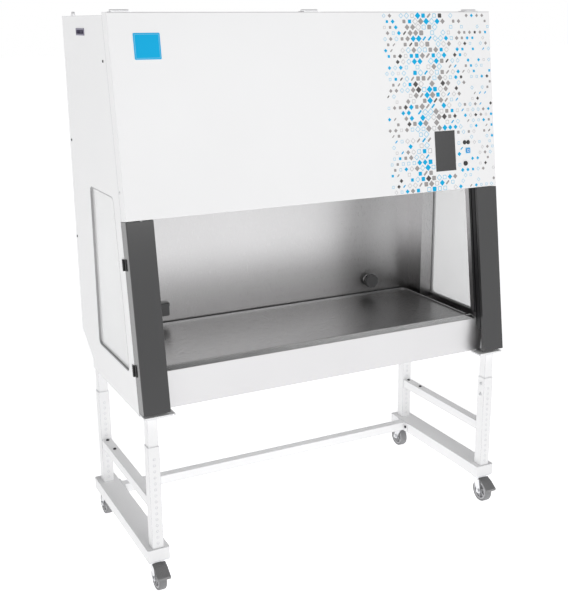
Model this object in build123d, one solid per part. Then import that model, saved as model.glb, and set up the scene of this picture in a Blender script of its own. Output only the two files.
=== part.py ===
from build123d import *
import math
import os

# Class II biosafety cabinet on a castor stand.
# Frame: +Z up, the front faces -Y, the origin is on the floor at the middle of the outline.
# "back" is a depth behind the sloping front face, "v" a length up that slope.

# ---- overall sizes, mm ----
WIDTH = 1650.0
CABINET_DEPTH = 800.0
STAND_HEIGHT = 725.0
CABINET_HEIGHT = 1435.0
TILT = 8.2
CHAMBER_MARGIN = 73.0
AIR_BAY = 590.0
PANEL_DROP = 711.6
PANEL_RISE = 10.0
POST_FOOT_RISE = 20.0

# ---- sheet and glass thicknesses ----
SHEET = 3.0
SIDE_SHEET = 4.0
LINER = 2.0
GLASS = 6.0

# ---- running clearances ----
SLIDE_GAP = 0.3
PIN_GAP = 0.08
SEAT_GAP = 0.3
TUBE_GAP = 0.4
COLUMN_GAP = 1.0

# ---- stand ----
BEAM_WIDTH = 90.0
BEAM_HEIGHT = 50.0
BEAM_SETBACK = 30.5
BEAM_REAR_SETBACK = 47.5
BEAM_WALL = 3.0
BEAM_OVERHANG = 2.4
LEG = 45.0
LEG_WALL = 2.5
FRONT_LEG_INSET = 7.0
REAR_LEG_INSET = 26.0
OUTER_LEG_LENGTH = 422.0
INNER_LEG_LENGTH = 325.0
HOLE_PITCH = 25.0
HOLE_DIAMETER = 9.0
HOLE_COUNT = 15
FIRST_HOLE_RISE = 22.0
RAIL = 40.0
RAIL_WALL = 2.5
MID_RAIL_RISE = 162.0
CROSS_RAIL_INSET = 134.0
END_PLATE = 6.0
END_PLATE_DEPTH = 92.0
VENT_DIAMETER = 12.0
CLAMP_SCREW = 8.0
SCREW_TIP = 0.1
CLAMP_SCREW_DROPS = (30.0, 80.0)
RAIL_SCREW_INSETS = (17.0, 119.0)

# ---- castors ----
WHEEL_DIAMETER = 100.0
WHEEL_WIDTH = 32.0
CASTOR_HEIGHT = 127.7
CASTOR_TRAIL = 32.0
CASTOR_INSET = 46.0
CASTOR_PLATE = (85.0, 92.0, 4.0)
RACE_DIAMETER = 62.0
RACE_HEIGHT = 7.5
CROWN_DIAMETER = 58.0
CROWN_THICKNESS = 6.0
CROWN_GAP = 0.5
KING_PIN = 14.0
KING_HEAD = 26.0
CHEEK = 3.0
CHEEK_GAP = 3.0
CHEEK_TAIL = 24.6
CHEEK_FOOT = 12.6
AXLE_LUG = 26.6
AXLE = 10.0
AXLE_HEAD = 17.0
AXLE_HEAD_HEIGHT = 6.0
TYRE_THICKNESS = 11.0
TYRE_SHOULDER = 4.4
TYRE_GAP = 0.1
RIM_WALL = 4.0
RIM_SETBACK = 2.0
HUB_BOSS = 24.0
HUB_WEB = 8.0
PEDAL_WIDTH = 54.0
PEDAL_REACH = 96.0
PEDAL_THICKNESS = 3.0
PEDAL_PIN = 5.0
PEDAL_PIN_AHEAD = 26.0
PEDAL_PIN_HEIGHT = 105.0
PEDAL_KNEE = 62.4
PEDAL_TOE_DROP = 27.0
PEDAL_TOE_LIP = 9.0
PEDAL_BOSS = 8.0
PEDAL_ARM_TOP = 4.0
PEDAL_ARM_REACHES = (0.0, 5.0, 20.0, 25.0)
SHOE_GAP = 2.5

# ---- front posts and sash ----
POST_WIDTH = 104.0
POST_RETURN = 58.0
POST_LIP = 16.0
SHELF_FRONT = 6.0
POST_GAP = 2.0
PANEL_RETURN = 50.0
PANEL_LIP = 7.0
CORNER_RADIUS = 4.0
GUIDE_LIP_GAP = 1.0
GUIDE_REAR = 56.0
GUIDE_REAR_FOOT = 170.0
GUIDE_INSET = 2.0
GUIDE_WIDTH = 26.0
GUIDE_FOOT = 98.0
SASH_FRONT = 36.0
SASH_HEIGHT = 614.0
SASH_MARGIN = 7.0
SASH_REST_RISE = 1.3
TRIM_HEIGHT = 22.0
TRIM_THICKNESS = 9.0
LIFT_BLOCK_HEIGHT = 36.0
PULLEY_DIAMETER = 28.0
PULLEY_WIDTH = 16.0
BELT_WIDTH = 12.0
BELT_THICKNESS = 1.5
BELT_OFFSET = 8.0
SHAFT = 12.0
BEARING_WIDTH = 12.0
SHAFT_ABOVE_SASH = 50.0
IDLER_RISE = 112.0
MOTOR_SIZE = (70.0, 50.0, 40.0)
MOTOR_INSET = 79.0
MOTOR_ARM = (40.0, 6.0)

# ---- side windows ----
WINDOW_REAR_INSET = 107.0
WINDOW_SILL_DROP = 9.0
WINDOW_HEAD_DROP = 52.0
WINDOW_FRONT_BACK = 125.0
WINDOW_RADIUS = 25.0
RECESS_DROP = 38.0
GASKET = 4.0
GASKET_LAP = 8.0
GLASS_LAP = 12.0
GLASS_SETBACK = 8.0

# ---- work chamber ----
SILL_SETBACK = 64.5
SILL_LIP = 3.0
SILL_FOOT_RISE = 8.0
SILL_RETURN = 24.0
REAR_DUCT = 148.5
TRAY_RISE = 152.0
TRAY_SIDE_GAP = 30.0
TRAY_FRONT_SETBACK = 139.5
TRAY_REAR_GAP = 12.0
TRAY_SKIRT = 25.0
TRAY_BEAD = (7.0, 5.0)
TRAY_RADIUS = 24.0
GRILLE_FRONT_GAP = 3.0
GRILLE_REAR_GAP = 1.5
GRILLE_VALLEY = 24.0
GRILLE_DROP = 12.0
GRILLE_SHEET = 2.0
GRILLE_SKIRT = 14.0
GRILLE_UNDERSIDE = (4.4, 2.2, 2.4)
SLOT_PITCH = 24.0
SLOT_WIDTH = 7.0
SLOT_MARGIN = 60.0
FAR_SLOT_LENGTH = 32.5
NEAR_SLOT_LENGTH = 10.1
SLOT_SLANT = 25.0
BASIN_WALL = 3.0
RIM_DROP = 51.0
RIB_INSET = 192.0
RIB_NOTCH = (1.0, 6.0, 2.0)
RIB_REAR_GAP = 8.0

# ---- base and outer casing ----
BASE_RISE = 40.0
REAR_CHAMFER = (140.0, 135.0)
SHELF_HEIGHT = 15.0
SHELF_WIDTH = 124.0
EXHAUST_SLOTS = 12
EXHAUST_SLOT = (14.0, 260.0)
EXHAUST_PITCH = 30.0

# ---- air system ----
FILTER_SIDE_GAP = 32.0
FILTER_FRONT_GAP = 30.7
SUPPLY_HEIGHT = 110.0
EXHAUST_WIDTH = 610.0
EXHAUST_FRONT_INSET = 40.0
EXHAUST_HEIGHT = 110.0
FILTER_FRAME = 18.0
DUCT_HEIGHT = 63.8
PLENUM_INLET = 270.0
DIFFUSER_SLOT_PITCH = 90.0
DIFFUSER_SLOT = (20.0, 300.0)
IMPELLER_DIAMETER = 300.0
IMPELLER_HEIGHT = 130.0
IMPELLER_BLADES = 9
BLADE_THICKNESS = 3.0
IMPELLER_EYE = 200.0
IMPELLER_BOSS = 36.0
IMPELLER_DROP = 8.0
BLADE_ANGLE = 50.0
MOTOR_DIAMETER = 120.0
MOTOR_HEIGHT = 90.0
FILTER_RECESS = 6.0
LAMP_LENGTH = 1200.0
LAMP_TUBE = 26.0
LAMP_BODY = (60.0, 22.0)
LAMP_SETBACK = 15.0
LAMP_DROP = 18.2
LAMP_SOCKET = 31.2

# ---- controls ----
DISPLAY_SIZE = (100.0, 165.0)
DISPLAY_PLACE = (257.0, 163.3)
DISPLAY_BEZEL = 2.0
DISPLAY_PROUD = 1.2
DISPLAY_DEPTH = 22.0
BUTTON_DIAMETER = 14.6
BUTTON_TRAVEL = 2.0
BUTTON_PROUD = 3.0
BUTTON_STEM = 9.0
BUTTON_EDGE = 0.75
UP_PLACE = (157.0, 192.8)
DOWN_PLACE = (139.0, 192.8)
LIGHT_PLACE = (142.0, 158.3)
LIGHT_BUTTON_SIDE = 18.0
KEY_PLACE = (157.0, 105.3)
KEY_DIAMETER = 17.0
KEY_BARREL = 12.0
BOARD_BACK = 14.0
BOARD_THICKNESS = 2.0
BOARD_MARGIN = 22.0
STANDOFF = 8.0
BUTTON_COLLAR = 2.4
KEY_PROUD = 5.0
KEYWAY = (1.6, 8.5)

# ---- hinges ----
HINGE_LENGTH = 42.0
HINGE_LEAF = 18.0
HINGE_RADIUS = 4.5
HINGE_PIN = 4.0
LEAF_THICKNESS = 3.0
POST_HINGE_INSETS = (162.0, 157.7)
PANEL_HINGE_INSET = 65.0
PANEL_HINGE_LENGTH = 70.0
PANEL_HINGE_BACK = 56.0

# ---- services on the rear wall ----
SERVICE_INSET = 229.0
VALVE_RISE = 66.0
SOCKET_SIZE = (74.0, 24.0, 56.0)
VALVE_FLANGE = (48.0, 5.5)
VALVE_BARREL = 31.2
KNOB_DIAMETER = 64.0
KNOB_DEPTH = 20.0
KNOB_LOBES = 8
KNOB_SCALLOP = 10.5
KNOB_SCALLOP_OFFSET = 1.9
SPINDLE = 10.0
SPINDLE_LENGTH = 16.0
VALVE_BODY = 22.0
FLAP_KNUCKLE = 6.0
FLAP_PIN = 3.0
FLAP_LUG = 6.0
SOCKET_RECESS = (39.2, 6.0)
CONTACT_BORE = (6.0, 12.0)
CONTACT_OFFSET = 9.3

# ---- fasteners and inlet ----
SCREW_HEAD = (10.0, 2.5)
BOLT_HEAD = (14.0, 5.0)
INLET_SIZE = (104.0, 20.0)
INLET_INSETS = (254.0, 58.5)
INLET_BLADE = 5.0
INLET_DEPTH = 32.0
CABINET_SCREW = 5.0
FRONT_SIDE_SCREW = (86.5, 158.0)
REAR_SIDE_SCREWS = ((25.5, 486.0), (13.5, 890.0))
PANEL_SCREW_PLACE = (104.0, 37.4)
LIFTING_BOLT = 8.0
LIFTING_BOLT_INSETS = (30.0, 55.5)

# ---- derived frame ----
SIN = math.sin(math.radians(TILT))
COS = math.cos(math.radians(TILT))
OVERHANG = PEDAL_REACH - CASTOR_INSET - BEAM_SETBACK
REAR_Y = (CABINET_DEPTH + OVERHANG) / 2
FOOT_Y = REAR_Y - CABINET_DEPTH
FOOT_Z = STAND_HEIGHT + POST_FOOT_RISE
CABINET_TOP = STAND_HEIGHT + CABINET_HEIGHT
PANEL_TOP = CABINET_TOP + PANEL_RISE
PANEL_FOOT = (CABINET_TOP - FOOT_Z - PANEL_DROP) / COS + POST_GAP
HALF = WIDTH / 2
HALF_CHAMBER = HALF - CHAMBER_MARGIN
CHAMBER_CEILING = CABINET_TOP - AIR_BAY
COLUMN_FACE = POST_RETURN + COLUMN_GAP
COLUMN_BACK = COLUMN_FACE + SHEET
PANEL_BACK = PANEL_RETURN + COLUMN_GAP
INNER_SIDE = HALF - SIDE_SHEET
BASE_Z = STAND_HEIGHT + BASE_RISE
BEAM_Z = CASTOR_HEIGHT
BEAM_TOP = BEAM_Z + BEAM_HEIGHT
BEAM_FRONT = FOOT_Y + BEAM_SETBACK
BEAM_REAR = REAR_Y - BEAM_REAR_SETBACK
BEAM_X = HALF + BEAM_OVERHANG - BEAM_WIDTH / 2
OUTER_LEG_TOP = BEAM_TOP + OUTER_LEG_LENGTH
INNER_LEG = LEG - 2 * LEG_WALL - 2 * TUBE_GAP
CROSS_RAIL_Y = BEAM_REAR - CROSS_RAIL_INSET + RAIL / 2
SILL_Y = FOOT_Y + SILL_SETBACK
REAR_WALL_Y = REAR_Y - REAR_DUCT
TRAY_TOP = STAND_HEIGHT + TRAY_RISE
SILL_TOP = TRAY_TOP + SILL_LIP
SILL_FOOT = STAND_HEIGHT + SILL_FOOT_RISE
BASIN_RIM = TRAY_TOP - RIM_DROP
RIB_OFFSET = HALF_CHAMBER - RIB_INSET
TRAY_FRONT = FOOT_Y + TRAY_FRONT_SETBACK
TRAY_REAR = REAR_WALL_Y - TRAY_REAR_GAP
WINDOW_REAR = REAR_WALL_Y - WINDOW_REAR_INSET
WINDOW_SILL = TRAY_TOP - WINDOW_SILL_DROP
RECESS_SILL = WINDOW_SILL - RECESS_DROP
WINDOW_HEAD = CHAMBER_CEILING - WINDOW_HEAD_DROP
WINDOW_INNER_X = HALF - GLASS_SETBACK
SASH_REST = PANEL_FOOT + SASH_REST_RISE
SASH_BACK = SASH_FRONT + GLASS
SASH_MIDDLE = SASH_FRONT + GLASS / 2
SHAFT_V = SASH_REST + SASH_HEIGHT + SHAFT_ABOVE_SASH
GUIDE_X = HALF - POST_WIDTH - GUIDE_INSET
GUIDE_OUTER = GUIDE_X + GUIDE_WIDTH
GUIDE_FRONT = POST_LIP + GUIDE_LIP_GAP
PULLEY_X = GUIDE_OUTER + BEARING_WIDTH + BELT_OFFSET + PULLEY_WIDTH / 2
GUIDE_HEAD = SHAFT_V - PULLEY_DIAMETER
SERVICE_OFFSET = HALF_CHAMBER - SERVICE_INSET
INLET_Y = REAR_Y - INLET_INSETS[0]
INLET_Z = CABINET_TOP - INLET_INSETS[1]
POST_HINGE_RISES = (POST_HINGE_INSETS[0], PANEL_FOOT - POST_HINGE_INSETS[1])
LOW = (Align.MIN, Align.MIN, Align.MIN)
ON_FOOT = (Align.CENTER, Align.CENTER, Align.MIN)
ON_FACE = 0.01
FRONT = Plane(origin=(0, FOOT_Y, FOOT_Z), x_dir=(1, 0, 0), z_dir=(0, -COS, SIN))
NODES = {}


def node(name, *solids):
    """Keep one named sub-part; several solids make one group."""
    NODES[name] = solids[0] if len(solids) == 1 else Compound(list(solids))


def span(a, b):
    return min(a, b), abs(b - a)


def block(x0, x1, y0, y1, z0, z1):
    x, dx = span(x0, x1)
    y, dy = span(y0, y1)
    z, dz = span(z0, z1)
    return Pos(x, y, z) * Box(dx, dy, dz, align=LOW)


def slope_block(x0, x1, v0, v1, back0, back1):
    """A box square to the sloping front face."""
    return FRONT.location * block(x0, x1, v0, v1, -back0, -back1)


def at(v, back):
    """Y and Z of a point on the slope, 'back' behind the front face."""
    return FOOT_Y + v * SIN + back * COS, FOOT_Z + v * COS - back * SIN


def slope_y(z, back):
    """Y at height z on the plane 'back' behind the front face."""
    return FOOT_Y + (z - FOOT_Z) * SIN / COS + back / COS


def outline(points, radius=0.0):
    face = make_face(Polyline(*points, close=True))
    if radius:
        face = fillet(face.vertices(), radius)
    return face


def prism(face, x0, x1):
    """A face drawn in Y and Z, stretched from x0 to x1."""
    x, dx = span(x0, x1)
    return extrude(Plane.YZ.offset(x) * face, amount=dx)


def rod(diameter, x0, x1, y, z):
    """A round bar along X."""
    x, dx = span(x0, x1)
    return Pos(x, y, z) * Rot(0, 90, 0) * Cylinder(diameter / 2, dx, align=ON_FOOT)


def post(diameter, x, y, z0, z1):
    """A round bar along Z."""
    z, dz = span(z0, z1)
    return Pos(x, y, z) * Cylinder(diameter / 2, dz, align=ON_FOOT)


def stud(diameter, x, v, back0, back1):
    """A round bar square to the front face."""
    low, length = span(-back0, -back1)
    bar = Cylinder(diameter / 2, length, align=ON_FOOT)
    return FRONT.location * Pos(x, v, low) * bar


def tube_y(x, width, height, wall, y0, y1, z0):
    """A square tube along Y, open at both ends."""
    outer = block(x - width / 2, x + width / 2, y0, y1, z0, z0 + height)
    bore = block(x - width / 2 + wall, x + width / 2 - wall, y0, y1, z0 + wall, z0 + height - wall)
    return outer - bore


def other_side(part):
    return mirror(part, about=Plane.YZ)


# ---- stand ----
def leg_centres():
    front = BEAM_FRONT + FRONT_LEG_INSET + LEG / 2
    rear = BEAM_REAR - REAR_LEG_INSET - LEG / 2
    return front, rear


def outer_leg(x, y):
    leg = block(x - LEG / 2, x + LEG / 2, y - LEG / 2, y + LEG / 2, BEAM_TOP, OUTER_LEG_TOP)
    bore = LEG - 2 * LEG_WALL
    leg -= block(x - bore / 2, x + bore / 2, y - bore / 2, y + bore / 2, BEAM_TOP, OUTER_LEG_TOP)
    for index in range(HOLE_COUNT):
        z = BEAM_TOP + FIRST_HOLE_RISE + index * HOLE_PITCH
        leg -= Pos(x, y - LEG / 2, z) * Rot(90, 0, 0) * Cylinder(HOLE_DIAMETER / 2, 2 * LEG_WALL)
    inner_face = -math.copysign(1, x)
    for drop in CLAMP_SCREW_DROPS:
        wall_x = x + inner_face * LEG / 2
        leg -= rod(CLAMP_SCREW, wall_x - inner_face * LEG_WALL, wall_x, y, OUTER_LEG_TOP - drop)
    return leg


def side_frame(side):
    """Foot beam, two outer legs and the middle rail, welded."""
    x = side * BEAM_X
    beam = block(x - BEAM_WIDTH / 2, x + BEAM_WIDTH / 2, BEAM_FRONT, BEAM_REAR, BEAM_Z, BEAM_TOP)
    beam = fillet(beam.edges().filter_by(Axis.Z), CORNER_RADIUS)
    half = BEAM_WIDTH / 2 - BEAM_WALL
    beam -= block(x - half, x + half, BEAM_FRONT + BEAM_WALL, BEAM_REAR - BEAM_WALL,
                  BEAM_Z + BEAM_WALL, BEAM_TOP - BEAM_WALL)
    middle = (BEAM_FRONT + BEAM_REAR) / 2
    beam -= post(VENT_DIAMETER, x, middle, BEAM_Z, BEAM_Z + BEAM_WALL)
    front, rear = leg_centres()
    rail_z = BEAM_TOP + MID_RAIL_RISE
    rail = tube_y(x, RAIL, RAIL, RAIL_WALL, front + LEG / 2, rear - LEG / 2, rail_z)
    for inset in RAIL_SCREW_INSETS:
        y = rear - LEG / 2 - inset
        rail -= post(CLAMP_SCREW, x, y, rail_z + RAIL - RAIL_WALL, rail_z + RAIL)
    return beam + rail + outer_leg(x, front) + outer_leg(x, rear)


def cross_rail():
    """Rear tube between the foot beams with a bolted plate at each end."""
    y = CROSS_RAIL_Y
    end = BEAM_X - BEAM_WIDTH / 2
    z = BEAM_TOP - RAIL
    rail = block(-end + END_PLATE, end - END_PLATE, y - RAIL / 2, y + RAIL / 2, z, BEAM_TOP)
    bore = RAIL / 2 - RAIL_WALL
    rail -= block(-end + END_PLATE, end - END_PLATE, y - bore, y + bore, z + RAIL_WALL, BEAM_TOP - RAIL_WALL)
    for side in (-1, 1):
        rail += block(side * (end - END_PLATE), side * end, y - END_PLATE_DEPTH / 2, y + END_PLATE_DEPTH / 2,
                      z, BEAM_TOP)
    return rail


def stand_screws():
    """Clamp screws of the telescopic legs, rail screws and end-plate bolts."""
    head, head_height = BOLT_HEAD
    screws = []
    for side in (-1, 1):
        x = side * BEAM_X
        for y in leg_centres():
            wall = x - side * LEG / 2
            for drop in CLAMP_SCREW_DROPS:
                z = OUTER_LEG_TOP - drop
                shank = rod(CLAMP_SCREW - 2 * PIN_GAP, wall, wall + side * (LEG_WALL + SCREW_TIP), y, z)
                screws.append(shank + rod(head, wall - side * head_height, wall, y, z))
        rear = leg_centres()[1]
        rail_top = BEAM_TOP + MID_RAIL_RISE + RAIL
        for inset in RAIL_SCREW_INSETS:
            y = rear - LEG / 2 - inset
            shank = post(CLAMP_SCREW - 2 * PIN_GAP, x, y, rail_top - RAIL_WALL, rail_top)
            screws.append(shank + post(head, x, y, rail_top, rail_top + head_height))
        plate = side * (BEAM_X - BEAM_WIDTH / 2 - END_PLATE)
        for end in (-1, 1):
            bolt_y = CROSS_RAIL_Y + end * (END_PLATE_DEPTH + RAIL) / 4
            screws.append(rod(head, plate - side * head_height, plate, bolt_y, BEAM_TOP - RAIL / 2))
    return screws


# ---- castors ----
def castor_place(side, end):
    """Swivel axis X and Y and the trail direction; end is -1 at the front and 1 at the rear."""
    y = BEAM_FRONT + CASTOR_INSET if end < 0 else BEAM_REAR - CASTOR_INSET
    return side * BEAM_X, y, end


CROWN_TOP = CASTOR_HEIGHT - CASTOR_PLATE[2] - RACE_HEIGHT - CROWN_GAP
CROWN_FOOT = CROWN_TOP - CROWN_THICKNESS
CHEEK_INNER = WHEEL_WIDTH / 2 + CHEEK_GAP


def castor_plate(side, end):
    x, y, trail = castor_place(side, end)
    width, depth, thickness = CASTOR_PLATE
    top = CASTOR_HEIGHT
    race_foot = top - thickness - RACE_HEIGHT
    plate = block(x - width / 2, x + width / 2, y - depth / 2, y + depth / 2, top - thickness, top)
    plate = fillet(plate.edges().filter_by(Axis.Z), CORNER_RADIUS)
    race = Pos(x, y, race_foot) * Cone(CROWN_DIAMETER / 2, RACE_DIAMETER / 2, RACE_HEIGHT, align=ON_FOOT)
    head_top = CROWN_FOOT - CROWN_GAP
    head = post(KING_HEAD, x, y, head_top - CHEEK, head_top)
    return plate + race + post(KING_PIN, x, y, head_top, race_foot) + head


def cheek_outline(y, trail):
    axle_y = y + trail * CASTOR_TRAIL
    axle_z = WHEEL_DIAMETER / 2
    sheet = make_face(Polyline(
        (y - trail * CHEEK_TAIL, CROWN_TOP), (y + trail * (PEDAL_PIN_AHEAD + PEDAL_PIN), CROWN_TOP),
        (axle_y + trail * CHEEK_FOOT, axle_z + CHEEK), (axle_y, axle_z - AXLE),
        (axle_y - trail * CHEEK_FOOT, axle_z), close=True))
    return sheet + Pos(axle_y, axle_z) * Circle(AXLE_LUG / 2)


def castor_fork(side, end):
    """Crown, two cheeks and the axle bolt."""
    x, y, trail = castor_place(side, end)
    axle_y = y + trail * CASTOR_TRAIL
    axle_z = WHEEL_DIAMETER / 2
    outer = CHEEK_INNER + CHEEK
    crown = post(CROWN_DIAMETER, x, y, CROWN_FOOT, CROWN_TOP)
    fork = crown - post(KING_PIN + 2 * PIN_GAP, x, y, CROWN_FOOT, CROWN_TOP)
    for hand in (-1, 1):
        fork += prism(cheek_outline(y, trail), x + hand * CHEEK_INNER, x + hand * outer)
    fork -= rod(AXLE + 2 * PIN_GAP, x - outer, x + outer, axle_y, axle_z)
    if trail < 0:
        pin_y = y + trail * PEDAL_PIN_AHEAD
        fork -= rod(PEDAL_PIN + 2 * PIN_GAP, x - outer, x + outer, pin_y, PEDAL_PIN_HEIGHT)
    bolt = rod(AXLE, x - outer, x + outer, axle_y, axle_z)
    bolt += rod(AXLE_HEAD, x - outer - AXLE_HEAD_HEIGHT, x - outer, axle_y, axle_z)
    bolt += rod(AXLE_HEAD, x + outer, x + outer + AXLE_HEAD_HEIGHT, axle_y, axle_z)
    return fork, bolt


def castor_wheel(side, end):
    """Moulded hub with a rubber tyre, turned about the axle."""
    x, y, trail = castor_place(side, end)
    centre = Pos(x, y + trail * CASTOR_TRAIL, WHEEL_DIAMETER / 2) * Rot(0, 90, 0)
    radius = WHEEL_DIAMETER / 2
    rim = radius - TYRE_THICKNESS - TYRE_GAP
    boss = CHEEK_INNER - CROWN_GAP
    bore = AXLE / 2 + PIN_GAP
    edge = WHEEL_WIDTH / 2 - RIM_SETBACK
    hub_face = make_face(Polyline(
        (bore, -boss), (HUB_BOSS / 2, -boss), (HUB_BOSS / 2, -HUB_WEB / 2), (rim - RIM_WALL, -HUB_WEB / 2),
        (rim - RIM_WALL, -edge), (rim, -edge), (rim, edge), (rim - RIM_WALL, edge),
        (rim - RIM_WALL, HUB_WEB / 2), (HUB_BOSS / 2, HUB_WEB / 2), (HUB_BOSS / 2, boss), (bore, boss),
        close=True))
    hub = revolve(Plane.XZ * hub_face, Axis.Z)
    tyre_section = RectangleRounded(TYRE_THICKNESS, WHEEL_WIDTH, TYRE_SHOULDER)
    tyre = revolve(Plane.XZ * Pos(radius - TYRE_THICKNESS / 2, 0) * tyre_section, Axis.Z)
    return centre * hub, centre * tyre


def brake_pedal(side):
    """Foot pedal over the front wheel, hinged in the fork, with the brake shoe."""
    x, y, trail = castor_place(side, -1)
    pin = y + trail * PEDAL_PIN_AHEAD
    start = pin + trail * (PEDAL_PIN + LEAF_THICKNESS)
    knee = y + trail * PEDAL_KNEE
    toe = y + trail * PEDAL_REACH
    start_z = PEDAL_PIN_HEIGHT + PEDAL_PIN + LEAF_THICKNESS
    knee_z = PEDAL_PIN_HEIGHT - PEDAL_THICKNESS
    toe_z = PEDAL_PIN_HEIGHT - PEDAL_TOE_DROP
    lip_z = toe_z - PEDAL_TOE_LIP
    lip = toe - trail * PEDAL_THICKNESS
    plate = make_face(Polyline(
        (start, start_z), (knee, knee_z), (toe, toe_z), (toe, lip_z), (lip, lip_z),
        (lip, toe_z - PEDAL_THICKNESS / 2), (knee, knee_z - PEDAL_THICKNESS),
        (start, start_z - PEDAL_THICKNESS), close=True))
    pedal = prism(plate, x - PEDAL_WIDTH / 2, x + PEDAL_WIDTH / 2)
    arm_half = CHEEK_INNER - CHEEK_GAP
    shoe_radius = WHEEL_DIAMETER / 2 + SHOE_GAP
    underside = []
    for reach in PEDAL_ARM_REACHES:
        point = pin + trail * reach
        ahead = point - (y + trail * CASTOR_TRAIL)
        underside.append((point, WHEEL_DIAMETER / 2 + math.sqrt(shoe_radius ** 2 - ahead ** 2)))
    underside.reverse()
    top = PEDAL_PIN_HEIGHT + PEDAL_ARM_TOP
    arm = make_face(Polyline(
        (pin, top), (pin + trail * PEDAL_PIN, top), (start, start_z - PEDAL_THICKNESS / 2),
        (pin + trail * PEDAL_ARM_REACHES[-1], knee_z + 2 * PEDAL_THICKNESS), *underside, close=True))
    pedal += prism(arm, x - arm_half, x + arm_half)
    pedal += rod(PEDAL_BOSS, x - arm_half, x + arm_half, pin, PEDAL_PIN_HEIGHT)
    outer = CHEEK_INNER + CHEEK
    return pedal + rod(PEDAL_PIN, x - outer, x + outer, pin, PEDAL_PIN_HEIGHT)


# ---- cabinet casing ----
def upper_frame(side):
    """Inner leg tubes welded to the bar that carries the cabinet."""
    x = side * BEAM_X
    front, rear = leg_centres()
    bar = tube_y(x, RAIL, BASE_RISE, RAIL_WALL, SILL_Y + 2 * LINER, rear + LEG / 2, STAND_HEIGHT)
    foot = STAND_HEIGHT - INNER_LEG_LENGTH
    half = INNER_LEG / 2
    bore = half - LEG_WALL
    for y in (front, rear):
        bar += block(x - half, x + half, y - half, y + half, foot, STAND_HEIGHT)
        bar -= block(x - bore, x + bore, y - bore, y + bore, foot, STAND_HEIGHT - LEG_WALL)
    return bar


def window_outline(grow=0.0, sill=WINDOW_SILL):
    """The side window seen from the side, its front edge parallel to the front face."""
    low = sill - grow
    high = WINDOW_HEAD + grow
    back = WINDOW_FRONT_BACK - grow
    points = [(slope_y(low, back), low), (WINDOW_REAR + grow, low),
              (WINDOW_REAR + grow, high), (slope_y(high, back), high)]
    return outline(points, WINDOW_RADIUS + grow)


def side_panel():
    """Right-hand side sheet with its front return, window opening and front shelf."""
    chamfer_y = REAR_Y - REAR_CHAMFER[0]
    step = PANEL_FOOT - POST_GAP / 2
    points = [(slope_y(STAND_HEIGHT, COLUMN_FACE), STAND_HEIGHT), (chamfer_y, STAND_HEIGHT),
              (chamfer_y, BASE_Z), (REAR_Y, STAND_HEIGHT + REAR_CHAMFER[1]), (REAR_Y, CABINET_TOP),
              (slope_y(CABINET_TOP, PANEL_BACK), CABINET_TOP), at(step, PANEL_BACK), at(step, COLUMN_FACE)]
    panel = prism(outline(points), INNER_SIDE, HALF)
    panel -= prism(window_outline(), INNER_SIDE, HALF)
    column_foot = (SHELF_HEIGHT - POST_FOOT_RISE) / COS
    column_head = (CABINET_TOP - SHEET - FOOT_Z + COLUMN_FACE * SIN) / COS
    panel += slope_block(HALF_CHAMBER, INNER_SIDE, column_foot, column_head, COLUMN_FACE, COLUMN_BACK)
    shelf_top = STAND_HEIGHT + SHELF_HEIGHT / 2
    panel += block(HALF - SHELF_WIDTH, INNER_SIDE, FOOT_Y + SHELF_FRONT, SILL_Y, STAND_HEIGHT, shelf_top)
    return panel


def rear_panel():
    half = INNER_SIDE - SEAT_GAP
    foot_y = REAR_Y - REAR_CHAMFER[0]
    corner_z = STAND_HEIGHT + REAR_CHAMFER[1]
    rise = (corner_z - BASE_Z) / REAR_CHAMFER[0]
    lift = SHEET * math.hypot(1, rise)
    points = [(foot_y, BASE_Z), (REAR_Y, corner_z), (REAR_Y, CABINET_TOP), (REAR_Y - SHEET, CABINET_TOP),
              (REAR_Y - SHEET, corner_z + lift - SHEET * rise), (foot_y, BASE_Z + lift)]
    return prism(outline(points), -half, half)


def top_panel():
    """Roof sheet with the exhaust slots over the exhaust filter."""
    half = INNER_SIDE - SEAT_GAP
    roof = block(-half, half, slope_y(CABINET_TOP, PANEL_BACK), REAR_Y - SHEET,
                 CABINET_TOP - SHEET, CABINET_TOP)
    slot_width, slot_length = EXHAUST_SLOT
    middle = (EXHAUST_Y + REAR_WALL_Y) / 2
    for index in range(EXHAUST_SLOTS):
        x = (index - (EXHAUST_SLOTS - 1) / 2) * EXHAUST_PITCH
        roof -= block(x - slot_width / 2, x + slot_width / 2, middle - slot_length / 2,
                      middle + slot_length / 2, CABINET_TOP - SHEET, CABINET_TOP)
    return roof


def base_pan():
    half = INNER_SIDE - SEAT_GAP
    return block(-half, half, SILL_Y + LINER, REAR_Y - REAR_CHAMFER[0], BASE_Z, BASE_Z + SHEET)


def side_window():
    return prism(window_outline(GLASS_LAP), WINDOW_INNER_X - GLASS, WINDOW_INNER_X)


def window_gasket():
    """Rubber channel between the glass and the edge of the opening."""
    seat = prism(window_outline(GASKET_LAP), WINDOW_INNER_X, INNER_SIDE)
    lip = prism(window_outline(-SLIDE_GAP), WINDOW_INNER_X, HALF - SLIDE_GAP)
    return seat + lip - prism(window_outline(-GASKET), WINDOW_INNER_X, HALF)


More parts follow.
